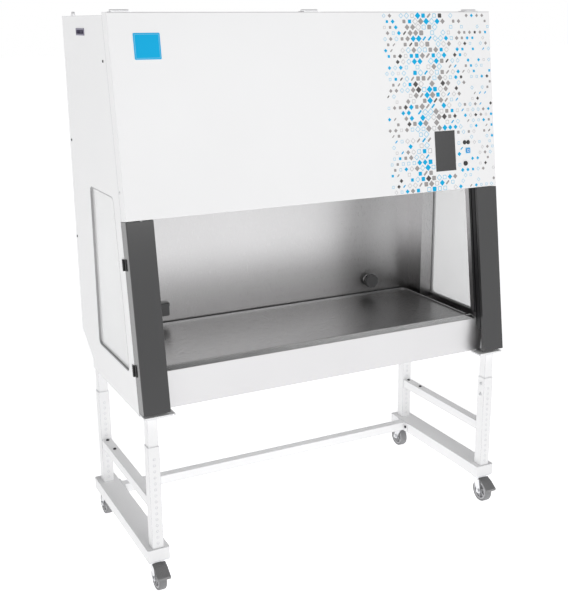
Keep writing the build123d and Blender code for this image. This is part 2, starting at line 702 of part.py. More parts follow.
# ---- work chamber ----
def liner_side():
    """Side wall of the chamber with the window recess folded outwards."""
    points = [(slope_y(BASIN_RIM, COLUMN_BACK), BASIN_RIM), (REAR_WALL_Y, BASIN_RIM),
              (REAR_WALL_Y, CHAMBER_CEILING), (slope_y(CHAMBER_CEILING, COLUMN_BACK), CHAMBER_CEILING)]
    end = WINDOW_INNER_X - GLASS - SEAT_GAP
    hole = window_outline(0.0, RECESS_SILL)
    wall = prism(outline(points), HALF_CHAMBER, HALF_CHAMBER + LINER)
    wall += prism(window_outline(LINER, RECESS_SILL), HALF_CHAMBER, end)
    wall -= prism(hole, HALF_CHAMBER, end)
    upstand = prism(hole, end - LINER, end)
    upstand -= block(HALF_CHAMBER, HALF, FOOT_Y, REAR_Y, WINDOW_SILL, CABINET_TOP)
    return wall + upstand


def chamber_liner():
    """Folded stainless lining: rear wall, both side walls and the closing strip behind the sash."""
    liner = liner_side()
    liner += other_side(liner)
    outer = HALF_CHAMBER + LINER
    liner += block(-outer, outer, REAR_WALL_Y, REAR_WALL_Y + LINER, BASIN_RIM, CHAMBER_CEILING)
    strip_head = (CHAMBER_CEILING - FOOT_Z + COLUMN_BACK * SIN) / COS
    strip_foot = PANEL_FOOT + PANEL_LIP
    return liner + slope_block(-outer, outer, strip_foot, strip_head, COLUMN_BACK, COLUMN_BACK + LINER)


def ceiling_diffuser():
    """Perforated sheet that spreads the clean air over the chamber."""
    outer = HALF_CHAMBER + LINER
    front = slope_y(CHAMBER_CEILING + LINER, COLUMN_BACK)
    sheet = block(-outer, outer, front, REAR_WALL_Y + LINER, CHAMBER_CEILING, CHAMBER_CEILING + LINER)
    slot_width, slot_length = DIFFUSER_SLOT
    middle = IMPELLER_Y
    count = int(SUPPLY_WIDTH / DIFFUSER_SLOT_PITCH) - 1
    for index in range(count):
        x = (index - (count - 1) / 2) * DIFFUSER_SLOT_PITCH
        sheet -= block(x - slot_width / 2, x + slot_width / 2, middle - slot_length / 2,
                       middle + slot_length / 2, CHAMBER_CEILING, CHAMBER_CEILING + LINER)
    return sheet


def front_sill():
    half = HALF_CHAMBER - SEAT_GAP
    sill = block(-half, half, SILL_Y, SILL_Y + LINER, SILL_FOOT, SILL_TOP)
    return sill + block(-half, half, SILL_Y, SILL_Y + SILL_RETURN, SILL_FOOT, SILL_FOOT + LINER)


def air_grille():
    """V-shaped intake grille between the sill and the tray, with two rows of slots."""
    half = HALF_CHAMBER - GRILLE_FRONT_GAP
    front = SILL_Y + GRILLE_FRONT_GAP
    rear = TRAY_FRONT - GRILLE_REAR_GAP
    valley = front + GRILLE_VALLEY
    valley_z = SILL_TOP - GRILLE_DROP
    sheet = GRILLE_SHEET
    under_front, under_valley, under_rear = GRILLE_UNDERSIDE
    points = [(front, SILL_TOP - GRILLE_SKIRT), (front, SILL_TOP), (valley, valley_z), (rear, TRAY_TOP),
              (rear, TRAY_TOP - GRILLE_SKIRT), (rear - sheet, TRAY_TOP - GRILLE_SKIRT),
              (rear - sheet, TRAY_TOP - under_rear), (valley, valley_z - under_valley),
              (front + sheet, SILL_TOP - under_front), (front + sheet, SILL_TOP - GRILLE_SKIRT)]
    grille = prism(outline(points), -half, half)
    far = (valley + rear) / 2
    near = (front + valley) / 2
    count = int(2 * (HALF_CHAMBER - SLOT_MARGIN) / SLOT_PITCH) + 1
    cut = 2 * GRILLE_SKIRT
    cutters = []
    for index in range(count):
        x = (index - (count - 1) / 2) * SLOT_PITCH
        cutters.append(Pos(x, far, TRAY_TOP) * Rot(0, 0, SLOT_SLANT) * Box(SLOT_WIDTH, FAR_SLOT_LENGTH, cut))
        cutters.append(Pos(x, near, TRAY_TOP) * Box(SLOT_WIDTH, NEAR_SLOT_LENGTH, cut))
    return grille - Compound(cutters)


def tray_plate(inset, z0, z1, front_inset):
    half = HALF_CHAMBER - TRAY_SIDE_GAP - inset
    plate = block(-half, half, TRAY_FRONT + front_inset, TRAY_REAR - inset, z0, z1)
    rear_corners = plate.edges().filter_by(Axis.Z).group_by(Axis.Y)[-1]
    return fillet(rear_corners, TRAY_RADIUS - inset)


def work_tray():
    """One-piece work surface with a skirt and a raised bead on three sides."""
    bead_width, bead_height = TRAY_BEAD
    tray = tray_plate(0, TRAY_TOP - TRAY_SKIRT, TRAY_TOP, 0)
    tray -= tray_plate(LINER, TRAY_TOP - TRAY_SKIRT, TRAY_TOP - LINER, LINER)
    bead = tray_plate(0, TRAY_TOP, TRAY_TOP + bead_height, 0)
    bead = fillet(bead.faces().sort_by(Axis.Z)[-1].edges(), LINER)
    bead -= tray_plate(bead_width, TRAY_TOP, TRAY_TOP + bead_height, -bead_width)
    return tray + bead


def drain_basin():
    """Spill basin under the tray with two ribs that carry the tray and the grille."""
    half = HALF_CHAMBER - SEAT_GAP
    floor = BASE_Z + SHEET + SEAT_GAP
    front = SILL_Y + LINER + SEAT_GAP
    rear = REAR_WALL_Y
    basin = block(-half, half, front, rear, floor, BASIN_RIM - SEAT_GAP)
    basin -= block(-half + BASIN_WALL, half - BASIN_WALL, front + BASIN_WALL, rear - BASIN_WALL,
                   floor + BASIN_WALL, BASIN_RIM)
    grille_seat = TRAY_TOP - GRILLE_SKIRT - SEAT_GAP
    tray_seat = TRAY_TOP - LINER - SEAT_GAP
    before, behind, below = RIB_NOTCH
    notch = TRAY_TOP - TRAY_SKIRT - below
    notch_front = TRAY_FRONT - before
    notch_rear = TRAY_FRONT + behind
    rib_front = front + BASIN_WALL
    rib_rear = TRAY_REAR - RIB_REAR_GAP
    rib = outline([(rib_front, floor + LINER), (rib_front, grille_seat), (notch_front, grille_seat),
                   (notch_front, notch), (notch_rear, notch), (notch_rear, tray_seat),
                   (rib_rear, tray_seat), (rib_rear, floor + LINER)])
    for side in (-1, 1):
        basin += prism(rib, side * RIB_OFFSET, side * (RIB_OFFSET + BASIN_WALL))
    return basin


# ---- posts, guides and sash ----
def front_edges(part, x):
    """Edges lying on the front face at the given distance from the middle."""
    picked = []
    for edge in part.edges():
        centre = edge.center()
        depth = (centre.Y - FOOT_Y) * COS - (centre.Z - FOOT_Z) * SIN
        if abs(depth) < ON_FACE and abs(abs(centre.X) - x) < ON_FACE:
            picked.append(edge)
    return picked


def post_cover():
    """Right-hand post cover: front, outer flange, inner lip and end plates."""
    inner = HALF - POST_WIDTH
    top = PANEL_FOOT - POST_GAP
    cover = slope_block(inner, HALF, 0, top, 0, POST_RETURN)
    cover = fillet(front_edges(cover, HALF), CORNER_RADIUS)
    cover -= slope_block(inner + SHEET, HALF - SHEET, SHEET, top, SHEET, POST_RETURN)
    cover -= slope_block(inner, inner + SHEET, SHEET, top, POST_LIP, POST_RETURN)
    return cover + slope_block(inner + SHEET / 2, HALF - SHEET / 2, top - SHEET, top, SHEET / 2, PANEL_LIP)


def sash_guide():
    """Right-hand guide: two bars with end brackets that carry the belt bearings."""
    head = SHAFT_V + PULLEY_DIAMETER
    foot_top = 2 * IDLER_RISE - GUIDE_FOOT
    rear = SASH_BACK + SLIDE_GAP
    bearing = GUIDE_OUTER + BEARING_WIDTH
    guide = slope_block(GUIDE_X, GUIDE_OUTER, GUIDE_FOOT, head, GUIDE_FRONT, SASH_FRONT - SLIDE_GAP)
    guide += slope_block(GUIDE_X, GUIDE_OUTER, GUIDE_FOOT, head, rear, rear + LINER)
    guide += slope_block(GUIDE_X, GUIDE_OUTER, GUIDE_REAR_FOOT, head, rear, GUIDE_REAR)
    for low, high in ((GUIDE_FOOT, foot_top), (GUIDE_HEAD, head)):
        guide += slope_block(GUIDE_X, bearing, low, high, GUIDE_FRONT, rear + LINER)
        guide += slope_block(HALF_CHAMBER + SEAT_GAP, bearing, low, high, GUIDE_FRONT, COLUMN_FACE)
    bore = SHAFT + 2 * PIN_GAP
    guide -= rod(bore, GUIDE_OUTER, bearing, *at(IDLER_RISE, SASH_MIDDLE))
    return guide - rod(bore, GUIDE_X, bearing, *at(SHAFT_V, SASH_MIDDLE))


def sash_glass():
    half = GUIDE_OUTER - SASH_MARGIN
    return slope_block(-half, half, SASH_REST + LINER, SASH_REST + SASH_HEIGHT, SASH_FRONT, SASH_BACK)


def sash_trim():
    """Handle channel under the glass and the two blocks that ride in the belt loops."""
    half = GUIDE_X - SEAT_GAP
    front = SASH_MIDDLE - TRIM_THICKNESS / 2
    top = SASH_REST + TRIM_HEIGHT
    trim = slope_block(-half, half, SASH_REST, top, front, front + TRIM_THICKNESS)
    trim -= slope_block(-half, half, SASH_REST + LINER, top, SASH_FRONT, SASH_BACK)
    pieces = [trim]
    reach = PULLEY_DIAMETER / 2 - SLIDE_GAP
    block_top = SASH_REST + LIFT_BLOCK_HEIGHT
    for side in (-1, 1):
        edge = side * (GUIDE_OUTER - SASH_MARGIN)
        inner = side * (PULLEY_X - BELT_WIDTH / 2)
        outer = side * (PULLEY_X + BELT_WIDTH / 2)
        arm = slope_block(edge, outer, SASH_REST, block_top, SASH_FRONT, SASH_BACK)
        pieces.append(arm + slope_block(inner, outer, SASH_REST, block_top, SASH_MIDDLE - reach,
                                        SASH_MIDDLE + reach))
    return pieces


def pulley(side, v):
    half = PULLEY_WIDTH / 2
    return rod(PULLEY_DIAMETER, side * (PULLEY_X - half), side * (PULLEY_X + half), *at(v, SASH_MIDDLE))


def sash_drive_shaft():
    end = PULLEY_X + PULLEY_WIDTH / 2
    return rod(SHAFT, -end, end, *at(SHAFT_V, SASH_MIDDLE)) + pulley(-1, SHAFT_V) + pulley(1, SHAFT_V)


def sash_idler(side):
    stub = rod(SHAFT, side * (GUIDE_OUTER + SEAT_GAP), side * PULLEY_X, *at(IDLER_RISE, SASH_MIDDLE))
    return stub + pulley(side, IDLER_RISE)


def belt_core(side, radius):
    x0 = side * (PULLEY_X - BELT_WIDTH / 2)
    x1 = side * (PULLEY_X + BELT_WIDTH / 2)
    core = slope_block(x0, x1, IDLER_RISE, SHAFT_V, SASH_MIDDLE - radius, SASH_MIDDLE + radius)
    core += rod(2 * radius, x0, x1, *at(IDLER_RISE, SASH_MIDDLE))
    return core + rod(2 * radius, x0, x1, *at(SHAFT_V, SASH_MIDDLE))


def sash_belt(side):
    inner = PULLEY_DIAMETER / 2 + SLIDE_GAP
    return belt_core(side, inner + BELT_THICKNESS) - belt_core(side, inner)


def sash_motor():
    """Gear motor round the shaft with an arm to the left guide bracket."""
    length, height, depth = MOTOR_SIZE
    start = MOTOR_INSET - GUIDE_X - length / 2
    front = SASH_MIDDLE - depth / 2
    motor = slope_block(start, start + length, SHAFT_V - height / 2, SHAFT_V + height / 2,
                        front, front + depth)
    motor -= rod(SHAFT + 2 * PIN_GAP, start, start + length, *at(SHAFT_V, SASH_MIDDLE))
    reach = MOTOR_ARM[0] / 2
    return motor + slope_block(-GUIDE_X, start, SHAFT_V - reach, SHAFT_V + reach, front, front + MOTOR_ARM[1])


# ---- hinges ----
def hinge(length):
    """Butt hinge about local Z: fixed leaf towards +Y with the pin, moving leaf towards -Y."""
    seat = -HINGE_RADIUS - SLIDE_GAP
    face = seat + LEAF_THICKNESS
    root = HINGE_RADIUS + SLIDE_GAP
    half = length / 2
    inner = length / 6
    fixed = block(seat, face, root, root + HINGE_LEAF, -half, half)
    moving = block(seat, face, -root, -root - HINGE_LEAF, -half, half)
    for low, high in ((-half, -inner - SLIDE_GAP / 2), (inner + SLIDE_GAP / 2, half)):
        fixed += block(seat, face, 0, root, low, high) + post(2 * HINGE_RADIUS, 0, 0, low, high)
    middle = inner - SLIDE_GAP / 2
    moving += block(seat, face, -root, 0, -middle, middle) + post(2 * HINGE_RADIUS, 0, 0, -middle, middle)
    moving -= post(HINGE_PIN + 2 * PIN_GAP, 0, 0, -middle, middle)
    return fixed + post(HINGE_PIN, 0, 0, -half, half), moving


def post_hinges():
    """Right-hand pair: fixed leaves and moving leaves."""
    fixed = []
    moving = []
    for rise in POST_HINGE_RISES:
        axis = (HALF + HINGE_RADIUS + SLIDE_GAP, *at(rise, POST_RETURN + COLUMN_GAP / 2))
        place = Plane(origin=axis, x_dir=(1, 0, 0), z_dir=(0, SIN, COS)).location
        leaves = hinge(HINGE_LENGTH)
        fixed.append(place * leaves[0])
        moving.append(place * leaves[1])
    return fixed, moving


PANEL_AXIS_Z = PANEL_TOP + HINGE_RADIUS + SLIDE_GAP
PANEL_AXIS_Y = slope_y(PANEL_AXIS_Z, PANEL_HINGE_BACK)


def panel_hinges():
    """Three hinges on the roof edge; the fixed leaves stand on risers."""
    fixed = []
    moving = []
    near = PANEL_AXIS_Y + HINGE_RADIUS + SLIDE_GAP
    half = PANEL_HINGE_LENGTH / 2
    offset = HALF - PANEL_HINGE_INSET
    for x in (-offset, 0, offset):
        place = Plane(origin=(x, PANEL_AXIS_Y, PANEL_AXIS_Z), x_dir=(0, 0, 1), z_dir=(-1, 0, 0)).location
        leaves = hinge(PANEL_HINGE_LENGTH)
        riser = block(x - half, x + half, near, near + HINGE_LEAF, CABINET_TOP, PANEL_TOP)
        fixed.append(place * leaves[0] + riser)
        moving.append(place * leaves[1])
    return fixed, moving


# ---- front panel and controls ----
def on_panel(place):
    """X and length up the slope of a control, from its distances to the panel's right edge and foot."""
    return HALF - place[0], PANEL_FOOT + place[1]


DISPLAY_CENTRE = on_panel(DISPLAY_PLACE)
UP_BUTTON = on_panel(UP_PLACE)
DOWN_BUTTON = on_panel(DOWN_PLACE)
LIGHT_BUTTON = on_panel(LIGHT_PLACE)
KEY_SWITCH = on_panel(KEY_PLACE)
PANEL_SCREW = at(PANEL_FOOT + PANEL_SCREW_PLACE[0], PANEL_SCREW_PLACE[1])


def front_panel():
    """Hinged front panel with folded returns and the openings for the controls."""
    points = [at(PANEL_FOOT, 0), at(PANEL_FOOT, PANEL_RETURN),
              (slope_y(PANEL_TOP, PANEL_RETURN), PANEL_TOP), (slope_y(PANEL_TOP, 0), PANEL_TOP)]
    panel = prism(outline(points), -HALF, HALF)
    panel = fillet(front_edges(panel, HALF) + front_edges(panel, 0), CORNER_RADIUS)
    under = PANEL_TOP - SHEET
    inside = [at(PANEL_FOOT + SHEET, SHEET), at(PANEL_FOOT + SHEET, PANEL_RETURN),
              (slope_y(under, PANEL_RETURN), under), (slope_y(under, SHEET), under)]
    panel -= prism(outline(inside), -HALF + SHEET, HALF - SHEET)
    panel -= slope_block(-HALF + SHEET, HALF - SHEET, PANEL_FOOT, PANEL_FOOT + SHEET, PANEL_LIP, PANEL_RETURN)
    x, v = DISPLAY_CENTRE
    dx = DISPLAY_SIZE[0] / 2 - DISPLAY_BEZEL
    dv = DISPLAY_SIZE[1] / 2 - DISPLAY_BEZEL
    panel -= slope_block(x - dx, x + dx, v - dv, v + dv, 0, SHEET)
    for centre in (UP_BUTTON, DOWN_BUTTON):
        panel -= stud(BUTTON_DIAMETER + 2 * SLIDE_GAP, *centre, 0, SHEET)
    x, v = LIGHT_BUTTON
    reach = LIGHT_BUTTON_SIDE / 2 + SLIDE_GAP
    panel -= slope_block(x - reach, x + reach, v - reach, v + reach, 0, SHEET)
    panel -= stud(KEY_BARREL + 2 * PIN_GAP, *KEY_SWITCH, 0, SHEET)
    return panel - rod(CABINET_SCREW + 2 * PIN_GAP, -HALF, HALF, *PANEL_SCREW)


def side_screw(side, depth, y, z):
    head, height = SCREW_HEAD
    face = side * HALF
    return rod(CABINET_SCREW, face - side * depth, face, y, z) + rod(head, face, face + side * height, y, z)


def control_module():
    """Display with its housing, the board behind the buttons and the board's stand-offs."""
    x, v = DISPLAY_CENTRE
    width, height = DISPLAY_SIZE
    module = slope_block(x - width / 2, x + width / 2, v - height / 2, v + height / 2, -DISPLAY_PROUD, 0)
    dx = width / 2 - DISPLAY_BEZEL - SEAT_GAP
    dv = height / 2 - DISPLAY_BEZEL - SEAT_GAP
    module += slope_block(x - dx, x + dx, v - dv, v + dv, 0, DISPLAY_DEPTH)
    low = KEY_SWITCH[1] - BOARD_MARGIN
    high = UP_BUTTON[1] + BOARD_MARGIN
    end = DOWN_BUTTON[0] + BOARD_MARGIN
    module += slope_block(x, end, low, high, BOARD_BACK, BOARD_BACK + BOARD_THICKNESS)
    for post_x in (x + width / 2 + STANDOFF, end - STANDOFF):
        for post_v in (low + STANDOFF, high - STANDOFF):
            module += stud(STANDOFF, post_x, post_v, SHEET, BOARD_BACK)
    return module


def push_button(x, v):
    """Round cap, a collar that retains it behind the panel and a stem towards the board."""
    collar = SHEET + SLIDE_GAP
    cap = stud(BUTTON_DIAMETER, x, v, -BUTTON_PROUD, collar)
    cap = fillet(cap.faces().sort_by(Axis.Y)[0].edges(), BUTTON_EDGE)
    cap += stud(BUTTON_DIAMETER + BUTTON_COLLAR, x, v, collar, collar + LINER)
    return cap + stud(BUTTON_STEM, x, v, collar + LINER, BOARD_BACK - BUTTON_TRAVEL - SLIDE_GAP)


def light_button():
    x, v = LIGHT_BUTTON
    collar = SHEET + SLIDE_GAP
    half = LIGHT_BUTTON_SIDE / 2
    wide = half + BUTTON_COLLAR / 2
    cap = slope_block(x - half, x + half, v - half, v + half, -BUTTON_PROUD, collar)
    cap += slope_block(x - wide, x + wide, v - wide, v + wide, collar, collar + LINER)
    return cap + stud(BUTTON_STEM, x, v, collar + LINER, BOARD_BACK - BUTTON_TRAVEL - SLIDE_GAP)


def key_switch():
    """Lock barrel that turns in the panel, with a keyway in its head."""
    x, v = KEY_SWITCH
    collar = SHEET + SLIDE_GAP
    lock = stud(KEY_DIAMETER, x, v, -KEY_PROUD, -SLIDE_GAP)
    lock += stud(KEY_BARREL, x, v, -SLIDE_GAP, BOARD_BACK - SLIDE_GAP)
    lock += stud(KEY_DIAMETER, x, v, collar, collar + LINER)
    dx, dv = KEYWAY[0] / 2, KEYWAY[1] / 2
    return lock - slope_block(x - dx, x + dx, v - dv, v + dv, -KEY_PROUD, -KEY_PROUD / 2)


# ---- air system ----
SUPPLY_WIDTH = 2 * (HALF_CHAMBER - FILTER_SIDE_GAP)
SUPPLY_Z = CHAMBER_CEILING + LINER + SEAT_GAP
EXHAUST_Z = CABINET_TOP - SHEET - SEAT_GAP - EXHAUST_HEIGHT
DUCT_TOP = EXHAUST_Z - SEAT_GAP
PLENUM_Z = SUPPLY_Z + SUPPLY_HEIGHT + SEAT_GAP
PLENUM_TOP = DUCT_TOP - DUCT_HEIGHT
SUPPLY_Y = slope_y(PLENUM_TOP, SASH_BACK) + FILTER_FRONT_GAP
EXHAUST_Y = SUPPLY_Y + EXHAUST_FRONT_INSET
IMPELLER_Y = (SUPPLY_Y + REAR_WALL_Y) / 2
MOTOR_FOOT = PLENUM_TOP - LINER - MOTOR_HEIGHT
IMPELLER_TOP = MOTOR_FOOT - IMPELLER_DROP


def filter_cell(width, height, y, z):
    """Deep filter: a frame with the pleated pack set back from both faces."""
    cell = block(-width / 2, width / 2, y, REAR_WALL_Y, z, z + height)
    reach = width / 2 - FILTER_FRAME
    for low, high in ((z, z + FILTER_RECESS), (z + height - FILTER_RECESS, z + height)):
        cell -= block(-reach, reach, y + FILTER_FRAME, REAR_WALL_Y - FILTER_FRAME, low, high)
    return cell


def blower_plenum():
    """Pressure box over the supply filter with its rear intake and the duct to the exhaust filter."""
    half = SUPPLY_WIDTH / 2
    front = SUPPLY_Y
    rear = REAR_WALL_Y
    box = block(-half, half, front, rear, PLENUM_Z, PLENUM_TOP)
    box -= block(-half + LINER, half - LINER, front + LINER, rear - LINER, PLENUM_Z, PLENUM_TOP - LINER)
    inlet_foot = PLENUM_TOP - PLENUM_INLET / 2
    box -= block(-PLENUM_INLET, PLENUM_INLET, rear - LINER, rear, inlet_foot, PLENUM_TOP - LINER)
    duct_x = EXHAUST_WIDTH / 2 - FILTER_FRAME
    duct_y = EXHAUST_Y + FILTER_FRAME
    duct_rear = rear - FILTER_FRAME
    box += block(-duct_x, duct_x, duct_y, duct_rear, PLENUM_TOP, DUCT_TOP)
    box -= block(-duct_x + LINER, duct_x - LINER, duct_y + LINER, duct_rear - LINER, PLENUM_TOP, DUCT_TOP)
    for side in (-1, 1):
        box -= block(side * MOTOR_DIAMETER, side * (duct_x - LINER), duct_y + LINER, duct_rear - LINER,
                     PLENUM_TOP - LINER, PLENUM_TOP)
    return box


def blower_motor():
    motor = post(MOTOR_DIAMETER, 0, IMPELLER_Y, MOTOR_FOOT, PLENUM_TOP - LINER)
    return motor - post(SHAFT + 2 * PIN_GAP, 0, IMPELLER_Y, MOTOR_FOOT, MOTOR_FOOT + MOTOR_HEIGHT / 2)


def blower_impeller():
    """Backward-bladed wheel on its shaft."""
    y = IMPELLER_Y
    low = IMPELLER_TOP - IMPELLER_HEIGHT
    sheet = BLADE_THICKNESS
    wheel = post(IMPELLER_DIAMETER, 0, y, IMPELLER_TOP - sheet, IMPELLER_TOP)
    wheel += post(IMPELLER_DIAMETER, 0, y, low, low + sheet) - post(IMPELLER_EYE, 0, y, low, low + sheet)
    ring = (IMPELLER_DIAMETER + IMPELLER_EYE) / 4
    chord = (IMPELLER_DIAMETER - IMPELLER_EYE) / 2
    for index in range(IMPELLER_BLADES):
        turn = Rot(0, 0, index * 360 / IMPELLER_BLADES)
        blade = Box(chord, sheet, IMPELLER_HEIGHT, align=ON_FOOT)
        wheel += Pos(0, y, low) * turn * Pos(ring, 0, 0) * Rot(0, 0, BLADE_ANGLE) * blade
    wheel += post(IMPELLER_BOSS, 0, y, IMPELLER_TOP - IMPELLER_BOSS, IMPELLER_TOP)
    return wheel + post(SHAFT, 0, y, IMPELLER_TOP, MOTOR_FOOT + MOTOR_HEIGHT / 2 - CROWN_GAP)


def lamp_unit():
    """Lamp body under the ceiling with two end sockets and the tube."""
    width, height = LAMP_BODY
    front = slope_y(CHAMBER_CEILING, COLUMN_BACK + LINER) + LAMP_SETBACK
    half = LAMP_LENGTH / 2
    foot = CHAMBER_CEILING - height
    middle = front + width / 2
    tube_z = foot - LAMP_DROP
    reach = LAMP_SOCKET / 2
    lamp = block(-half, half, front, front + width, foot, CHAMBER_CEILING)
    for side in (-1, 1):
        lamp += block(side * half, side * (half - LAMP_TUBE), middle - reach, middle + reach,
                      tube_z - reach, foot)
    return lamp + rod(LAMP_TUBE, -half + LAMP_TUBE, half - LAMP_TUBE, middle, tube_z)


# ---- services ----
SERVICE_Z = TRAY_TOP + VALVE_RISE


def round_y(diameter, x, y0, y1, z):
    """A round bar along Y."""
    y, dy = span(y0, y1)
    bar = Cylinder(diameter / 2, dy, align=ON_FOOT)
    return Pos(x, y, z) * Rot(-90, 0, 0) * bar


def service_valve():
    """Flanged valve body with the spindle of the knob."""
    wall = REAR_WALL_Y
    flange = round_y(VALVE_FLANGE[0], SERVICE_OFFSET, wall - VALVE_FLANGE[1], wall, SERVICE_Z)
    body = round_y(VALVE_BARREL, SERVICE_OFFSET, wall - VALVE_BODY, wall, SERVICE_Z)
    tip = wall - VALVE_BODY - SPINDLE_LENGTH
    return flange + body + round_y(SPINDLE, SERVICE_OFFSET, tip, wall, SERVICE_Z)


def valve_knob():
    """Lobed knob turning on the spindle."""
    rear = REAR_WALL_Y - VALVE_BODY - SLIDE_GAP
    front = rear - KNOB_DEPTH
    knob = round_y(KNOB_DIAMETER, SERVICE_OFFSET, front, rear, SERVICE_Z)
    ring = KNOB_DIAMETER / 2 + KNOB_SCALLOP_OFFSET
    for index in range(KNOB_LOBES):
        angle = 2 * math.pi * index / KNOB_LOBES
        knob -= round_y(KNOB_SCALLOP, SERVICE_OFFSET + ring * math.cos(angle), front, rear,
                        SERVICE_Z + ring * math.sin(angle))
    spindle_tip = REAR_WALL_Y - VALVE_BODY - SPINDLE_LENGTH - SLIDE_GAP
    return knob - round_y(SPINDLE + 2 * PIN_GAP, SERVICE_OFFSET, spindle_tip, rear, SERVICE_Z)


SOCKET_TOP = SERVICE_Z + SOCKET_SIZE[2] / 2
FLAP_AXIS_Y = REAR_WALL_Y - SOCKET_SIZE[1] + FLAP_KNUCKLE / 2
FLAP_AXIS_Z = SOCKET_TOP - FLAP_KNUCKLE


def socket_outlet():
    """Socket body with its round recess, contact bores and two lugs for the flap."""
    width, _, height = SOCKET_SIZE
    x = -SERVICE_OFFSET
    face = FLAP_AXIS_Y + FLAP_KNUCKLE / 2 + SLIDE_GAP
    half = width / 2
    body = block(x - half, x + half, face, REAR_WALL_Y, SOCKET_TOP - height, SOCKET_TOP)
    body -= round_y(SOCKET_RECESS[0], x, face, face + SOCKET_RECESS[1], SERVICE_Z)
    for side in (-1, 1):
        body -= round_y(CONTACT_BORE[0], x + side * CONTACT_OFFSET, face, face + CONTACT_BORE[1], SERVICE_Z)
        lug = block(x + side * half, x + side * (half - FLAP_LUG), FLAP_AXIS_Y - FLAP_KNUCKLE / 2, face,
                    FLAP_AXIS_Z - FLAP_KNUCKLE, SOCKET_TOP)
        body += lug - rod(FLAP_PIN + 2 * PIN_GAP, x + side * half, x + side * (half - FLAP_LUG),
                          FLAP_AXIS_Y, FLAP_AXIS_Z)
    return body


def socket_flap():
    width, _, height = SOCKET_SIZE
    x = -SERVICE_OFFSET
    reach = width / 2 - FLAP_LUG - SLIDE_GAP
    face = FLAP_AXIS_Y - FLAP_KNUCKLE / 2
    flap = block(x - reach, x + reach, face, FLAP_AXIS_Y, SOCKET_TOP - height, FLAP_AXIS_Z)
    flap += rod(FLAP_KNUCKLE, x - reach, x + reach, FLAP_AXIS_Y, FLAP_AXIS_Z)
    return flap + rod(FLAP_PIN, x - width / 2, x + width / 2, FLAP_AXIS_Y, FLAP_AXIS_Z)


def inlet_opening(x0, x1, grow):
    length, height = INLET_SIZE
    reach = length / 2 + grow
    rise = height / 2 + grow
    return block(x0, x1, INLET_Y - reach, INLET_Y + reach, INLET_Z - rise, INLET_Z + rise)


def power_inlet():
    """Supply inlet in the left side panel: bezel, shroud and three blades."""
    inner = -HALF + INLET_DEPTH
    inlet = inlet_opening(-HALF, inner, 0) + inlet_opening(-HALF - LINER, -HALF, SHEET)
    inlet -= inlet_opening(-HALF - LINER, inner - SHEET, -SHEET)
    for index in (-1, 0, 1):
        y = INLET_Y + index * 2 * INLET_BLADE
        inlet += block(inner - SHEET, -HALF + LINER, y - LINER / 2, y + LINER / 2,
                       INLET_Z - INLET_BLADE, INLET_Z + INLET_BLADE)
    return inlet


def side_screw_places():
    """Y and Z of the screws in each side panel."""
    back, drop = FRONT_SIDE_SCREW
    z = CABINET_TOP - drop
    places = [(slope_y(z, back), z)]
    for inset, drop in REAR_SIDE_SCREWS:
        places.append((REAR_Y - inset, CABINET_TOP - drop))
    return places


def screw_bores(side):
    """Bores of the side screws."""
    bore = CABINET_SCREW + 2 * PIN_GAP
    return Compound([rod(bore, side * INNER_SIDE, side * HALF, *place) for place in side_screw_places()])


def bolt_place(side):
    return side * (HALF - LIFTING_BOLT_INSETS[0]), REAR_Y - LIFTING_BOLT_INSETS[1]


def cabinet_screws():
    """Side-panel screws, shelf screws and the lifting bolts in the roof."""
    head, height = SCREW_HEAD
    screws = []
    for side in (-1, 1):
        for place in side_screw_places():
            screws.append(side_screw(side, SIDE_SHEET, *place))
        x = side * (HALF - SHELF_WIDTH + head)
        shelf = FOOT_Y + SHELF_FRONT
        screws.append(round_y(head, x, shelf - height, shelf, STAND_HEIGHT + SHELF_HEIGHT / 4))
        x, y = bolt_place(side)
        bolt = post(LIFTING_BOLT, x, y, CABINET_TOP - SHEET, CABINET_TOP)
        screws.append(bolt + post(2 * LIFTING_BOLT, x, y, CABINET_TOP, CABINET_TOP + 2 * LIFTING_BOLT))
    return screws


# ---- build ----
CORNERS = (("front_left", -1, -1), ("front_right", 1, -1), ("rear_left", -1, 1), ("rear_right", 1, 1))

node("left_side_frame", side_frame(-1))
node("right_side_frame", side_frame(1))
node("rear_cross_rail", cross_rail())
node("stand_screws", *stand_screws())
node("castor_plates", *[castor_plate(side, end) for _, side, end in CORNERS])
for name, side, end in CORNERS:
    node("castor_fork_" + name, *castor_fork(side, end))
    node("castor_wheel_" + name, *castor_wheel(side, end))
node("brake_pedal_front_left", brake_pedal(-1))
node("brake_pedal_front_right", brake_pedal(1))
node("upper_frame", upper_frame(-1), upper_frame(1))
casing = side_panel()
left_casing = other_side(casing) - inlet_opening(-HALF, -INNER_SIDE, SEAT_GAP)
node("right_side_panel", casing - screw_bores(1))
node("left_side_panel", left_casing - screw_bores(-1))
node("rear_panel", rear_panel())
bore = LIFTING_BOLT + 2 * PIN_GAP
bolt_bores = [post(bore, *bolt_place(side), CABINET_TOP - SHEET, CABINET_TOP) for side in (-1, 1)]
node("top_panel", top_panel() - Compound(bolt_bores))
node("base_pan", base_pan())
node("side_windows", side_window(), other_side(side_window()))
node("window_gaskets", window_gasket(), other_side(window_gasket()))
node("chamber_liner", chamber_liner())
node("ceiling_diffuser", ceiling_diffuser())
node("drain_basin", drain_basin())
node("front_sill", front_sill())
node("air_grille", air_grille())
node("work_tray", work_tray())
panel_screws = [side_screw(side, SHEET, *PANEL_SCREW) for side in (-1, 1)]
node("front_panel", front_panel(), *panel_screws)
node("control_module", control_module())
node("sash_up_button", push_button(*UP_BUTTON))
node("sash_down_button", push_button(*DOWN_BUTTON))
node("light_button", light_button())
node("key_switch", key_switch())
node("right_post_cover", post_cover())
node("left_post_cover", other_side(post_cover()))
fixed_leaves, moving_leaves = post_hinges()
node("post_hinge_fixed_leaves", *fixed_leaves, *[other_side(leaf) for leaf in fixed_leaves])
